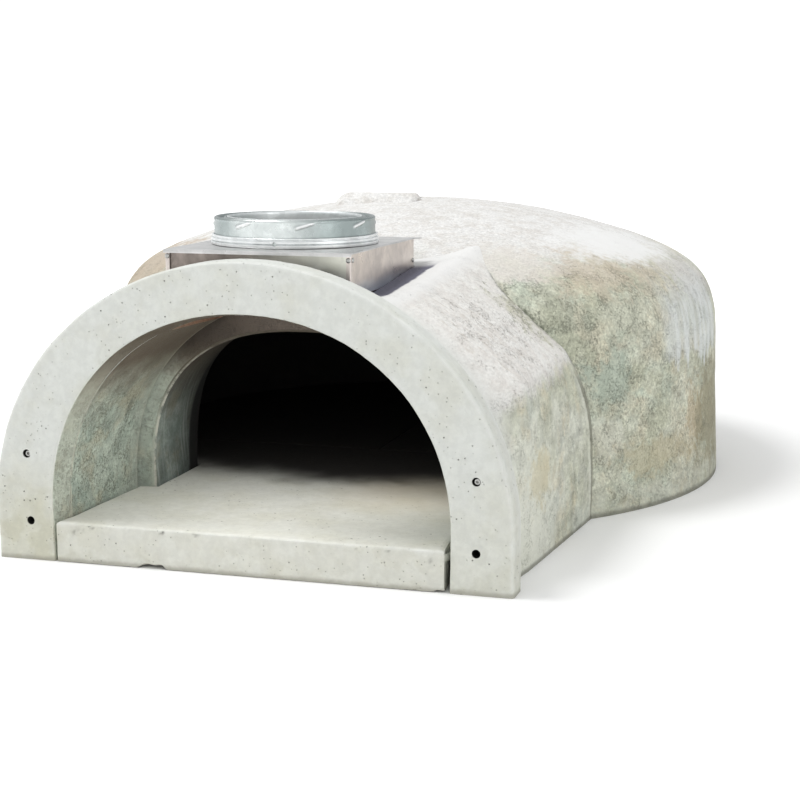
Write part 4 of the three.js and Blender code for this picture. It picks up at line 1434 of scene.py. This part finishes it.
# Steps out from the casing wall and from the liner's flange, and down from the top.
ROLLED_EDGE = [(0.3, 4.0), (0.2, 2.2), (-0.8, 0.9), (-2.6, 0.1), (-4.4, 0.4), (-5.6, 1.8), (-6.2, 4.2)]
INNER_LIP = [(5.0, 4.4), (4.0, 2.4), (2.6, 0.8), (1.2, 0.4), (0, 1.2), (0, 6.0)]


def collar():
    bottom = BOX_TOP + 0.4
    inner = CASING_RADIUS + 0.4
    outer = BASE_RADIUS
    section = [
        (-0.6, 0.0),
        (0.0, 0.8),
        (-0.1, 4.2),
        (-1.5, 5.0),
        (-2.6, 5.6),
        (-0.2, 6.8),
        (-0.5, 9.8),
        (-3.2, 10.8),
        (-3.2, 11.6),
        (-1.2, 12.8),
        (-1.2, 14.0),
        (-3.0, 15.2),
    ]
    base = [(inner, bottom)] + [(outer + dx, bottom + dz) for dx, dz in section]
    base += [(inner + 0.6, bottom + 15.2), (inner, bottom + 14.0)]
    base_ring = turned("collar_base", base, COLLAR_Y, 192, closed=True)
    direction = np.array([math.sin(SCREW_TURN), -math.cos(SCREW_TURN), 0])
    middle = np.array([0, COLLAR_Y, SCREW_HEIGHT])
    near, far = middle + direction * (outer + 6), middle + direction * (inner - 6)
    cut(base_ring, bar(near, far, SCREW_HOLE_RADIUS))
    tilted(base_ring)
    finish(base_ring, ["collar_base_ring"], ["base_ring"], 40)

    wall_low, wall_high = bottom, COLLAR_TOP - 5.0
    radius = CASING_RADIUS
    flange = LINER_RADIUS + 3.6
    outside = [(radius, z) for z in np.linspace(wall_low, wall_high, 28)]
    rim = [(radius + dx, COLLAR_TOP - drop) for dx, drop in ROLLED_EDGE]
    rim += [(flange + dx, COLLAR_TOP - drop) for dx, drop in INNER_LIP]
    rim += [
        (radius - 6.0, COLLAR_TOP - 6.2),
        (radius - SHEET, COLLAR_TOP - 8.0),
        (radius - SHEET, wall_low),
    ]
    casing = turned("collar_outer_wall", outside + rim, COLLAR_Y, 384, closed=True)
    points = oven_points(casing)
    dx, dy = points[:, 0], points[:, 1] - COLLAR_Y
    turn = np.arctan2(dx, -dy)
    reach = np.hypot(dx, dy)
    pitch = 2 * math.pi / LOCKS
    lengthwise = ((turn - LOCK_START + pitch / 2) % pitch - pitch / 2) / LOCK_HALF_TURN
    across = (points[:, 2] - LOCK_HEIGHT - lengthwise * LOCK_CLIMB) / 1.9
    push = LOCK_DEPTH * np.exp(-(across**2)) * smoothstep(np.abs(lengthwise), 1.15, 0.8)
    skin_layer = (reach > radius - 0.9) & (points[:, 2] < wall_high + 0.5)
    scale = 1 + np.where(skin_layer, push, 0) / reach
    points[:, 0] *= scale
    points[:, 1] = COLLAR_Y + dy * scale
    set_points(casing, points)
    # the lock embossments are painted bright: painted glint
    paint(casing, "wear_and_highlight", np.clip(np.where(skin_layer, push, 0) / 1.6, 0, 1))
    tilted(casing)
    finish(casing, ["collar_casing"], ["collar"], 50)

    lip = LINER_RADIUS + 1.2
    steps = [(-1.0, 1.2), (0, 0), (1.4, 0.6), (1.6, 2.0), (0.4, 3.0), (0, 5)]
    liner = [(LINER_RADIUS, z) for z in np.linspace(LINER_FOOT, COLLAR_TOP - 4, 8)]
    liner += [(lip + dx, COLLAR_TOP - drop) for dx, drop in steps] + [(lip, LINER_FOOT)]
    tube = turned("collar_inner_tube", liner, COLLAR_Y, 192, closed=True)
    tilted(tube)
    finish(tube, ["collar_liner"], ["liner"], 50)


collar()

# ---- Fasteners ----


def anchor_bolt(name, place, node):
    """A recessed socket-head anchor sitting a little off the middle of its hole."""
    x, z = FACE_HOLES[place]
    x += 0.8
    z -= 0.4
    head = 4.2
    bolt = rod(
        name,
        (x, head, z),
        (x, 100, z),
        [(0, 3.9), (0.006, 4.7), (0.02, 5.0), (0.08, 5.0), (0.085, 4.0), (1, 4.0)],
        32,
    )
    cut(bolt, bar((x, head - 4, z), (x, head + 5, z), 2.6, 6))
    finish(bolt, [node], ["bolt"], 30)


def pop_rivet(name, place, out):
    """A domed rivet head with a small centre pit, on a short shank."""
    place = np.array(place, dtype=float)
    out = np.array(out, dtype=float)
    inner, outer = place - out * 5.0, place + out * 2.3
    shank = [(0, 1.7), (0.70, 1.7)]
    dome = [(0.701, 3.6), (0.76, 3.8), (0.84, 3.5), (0.92, 2.8), (0.98, 1.7), (1.0, 1.2)]
    head = rod(name, inner, outer, shank + dome + [(0.96, 0.8)], 28)
    tilted(head)
    finish(head, [name.replace("pop_", "")], ["bolt"], 40)


for side in ("left", "right"):
    anchor_bolt(f"anchor_head_{side}", f"upper_{side}", f"anchor_bolt_{side}")
INSET = FLANGE / 2
for name, place, out in (
    ("pop_rivet_front_left", (-BOX_HALF + INSET, BOX_FRONT, 458), (0, -1, 0)),
    ("pop_rivet_front_right", (BOX_HALF - INSET, BOX_FRONT, 458), (0, -1, 0)),
    ("pop_rivet_left_front", (-BOX_HALF, BOX_FRONT + 8, 458), (-1, 0, 0)),
    ("pop_rivet_left_rear", (-BOX_HALF, BOX_BACK - 8, 433), (-1, 0, 0)),
    ("pop_rivet_right_front", (BOX_HALF, BOX_FRONT + 8, 458), (1, 0, 0)),
    ("pop_rivet_right_rear", (BOX_HALF, BOX_BACK - 8, 433), (1, 0, 0)),
):
    pop_rivet(name, place, out)

# ---- Floor, light and camera ----


def studio_floor():
    size = 40.0
    mesh = bpy.data.meshes.new("floor")
    corners = [(-size, -size, 0), (size, -size, 0), (size, size, 0), (-size, size, 0)]
    mesh.from_pydata(corners, [], [(0, 1, 2, 3)])
    obj = bpy.data.objects.new("floor", mesh)
    bpy.context.scene.collection.objects.link(obj)
    s = Shader("floor")
    far = s.maths("SQRT", s.x * s.x + s.y * s.y)
    s.feed(s.surface.inputs["Emission Color"], (1, 1, 1))
    s.feed(s.surface.inputs["Emission Strength"], far.fade(1.2, 3.0) * 0.5)
    mesh.materials.append(s.done((0.92, 0.92, 0.92), 0.9))


def area_light(name, place, target, size, power, seen=True):
    data = bpy.data.lights.new(name, "AREA")
    data.shape = "DISK"
    data.size = size
    data.energy = power
    obj = bpy.data.objects.new(name, data)
    obj.visible_camera = seen
    obj.location = place
    aim = Vector(target) - Vector(place)
    obj.rotation_euler = aim.to_track_quat("-Z", "Y").to_euler()
    bpy.context.scene.collection.objects.link(obj)


def studio_world():
    """White to the camera, and a soft sky that is dimmer low on the right for the light."""
    world = bpy.data.worlds.new("studio")
    world.use_nodes = True
    tree = world.node_tree
    tree.nodes.clear()
    kinds = "OutputWorld Background Background TexCoord VectorMath ValToRGB MapRange LightPath MixShader"
    nodes = [tree.nodes.new("ShaderNode" + kind) for kind in kinds.split()]
    output, seen, sky, place, toward, ramp, to_share, light_path, choose = nodes
    seen.inputs["Color"].default_value = (1, 1, 1, 1)
    seen.inputs["Strength"].default_value = 1.1
    sky.inputs["Strength"].default_value = 0.87
    toward.operation = "DOT_PRODUCT"
    toward.inputs[1].default_value = Vector((-0.30, -0.75, 0.55)).normalized()
    to_share.inputs["From Min"].default_value = -1
    stops = ((0.0, (0.62, 0.635, 0.65, 1)), (0.55, (1.03, 1.035, 1.04, 1)))
    for element, (position, color) in zip(ramp.color_ramp.elements, stops):
        element.position = position
        element.color = color
    for source, target in (
        (place.outputs["Generated"], toward.inputs[0]),
        (toward.outputs["Value"], to_share.inputs["Value"]),
        (to_share.outputs[0], ramp.inputs[0]),
        (ramp.outputs[0], sky.inputs["Color"]),
        (light_path.outputs["Is Camera Ray"], choose.inputs[0]),
        (sky.outputs[0], choose.inputs[1]),
        (seen.outputs[0], choose.inputs[2]),
        (choose.outputs[0], output.inputs["Surface"]),
    ):
        tree.links.new(source, target)
    bpy.context.scene.world = world


def studio_camera():
    azimuth, tip, roll = (math.radians(a) for a in (17.004, 90 - 10.347, -0.263))
    turn = Matrix.Rotation(azimuth, 4, "Z") @ Matrix.Rotation(tip, 4, "X")
    turn = turn @ Matrix.Rotation(roll, 4, "Z")
    data = bpy.data.cameras.new("camera")
    data.sensor_width = 36.0
    data.lens = 78.43
    obj = bpy.data.objects.new("camera", data)
    obj.matrix_world = Matrix.Translation(to_row((940.5, -2295.3, 714.0))) @ turn
    bpy.context.scene.collection.objects.link(obj)
    bpy.context.scene.camera = obj


studio_floor()
studio_world()
area_light("key", (-1.75, -0.9, 4.6), (0, 0, 0.2), 1.7, 108)
area_light("side_fill", (3.1, -1.9, 1.1), (0.2, 0, 0.2), 2.0, 9, seen=False)
area_light("mouth_fill", to_row((0, 120, 372)), to_row((0, 185, 62)), 0.3, 1.0, seen=False)
studio_camera()
bpy.context.scene.view_settings.view_transform = "Standard"
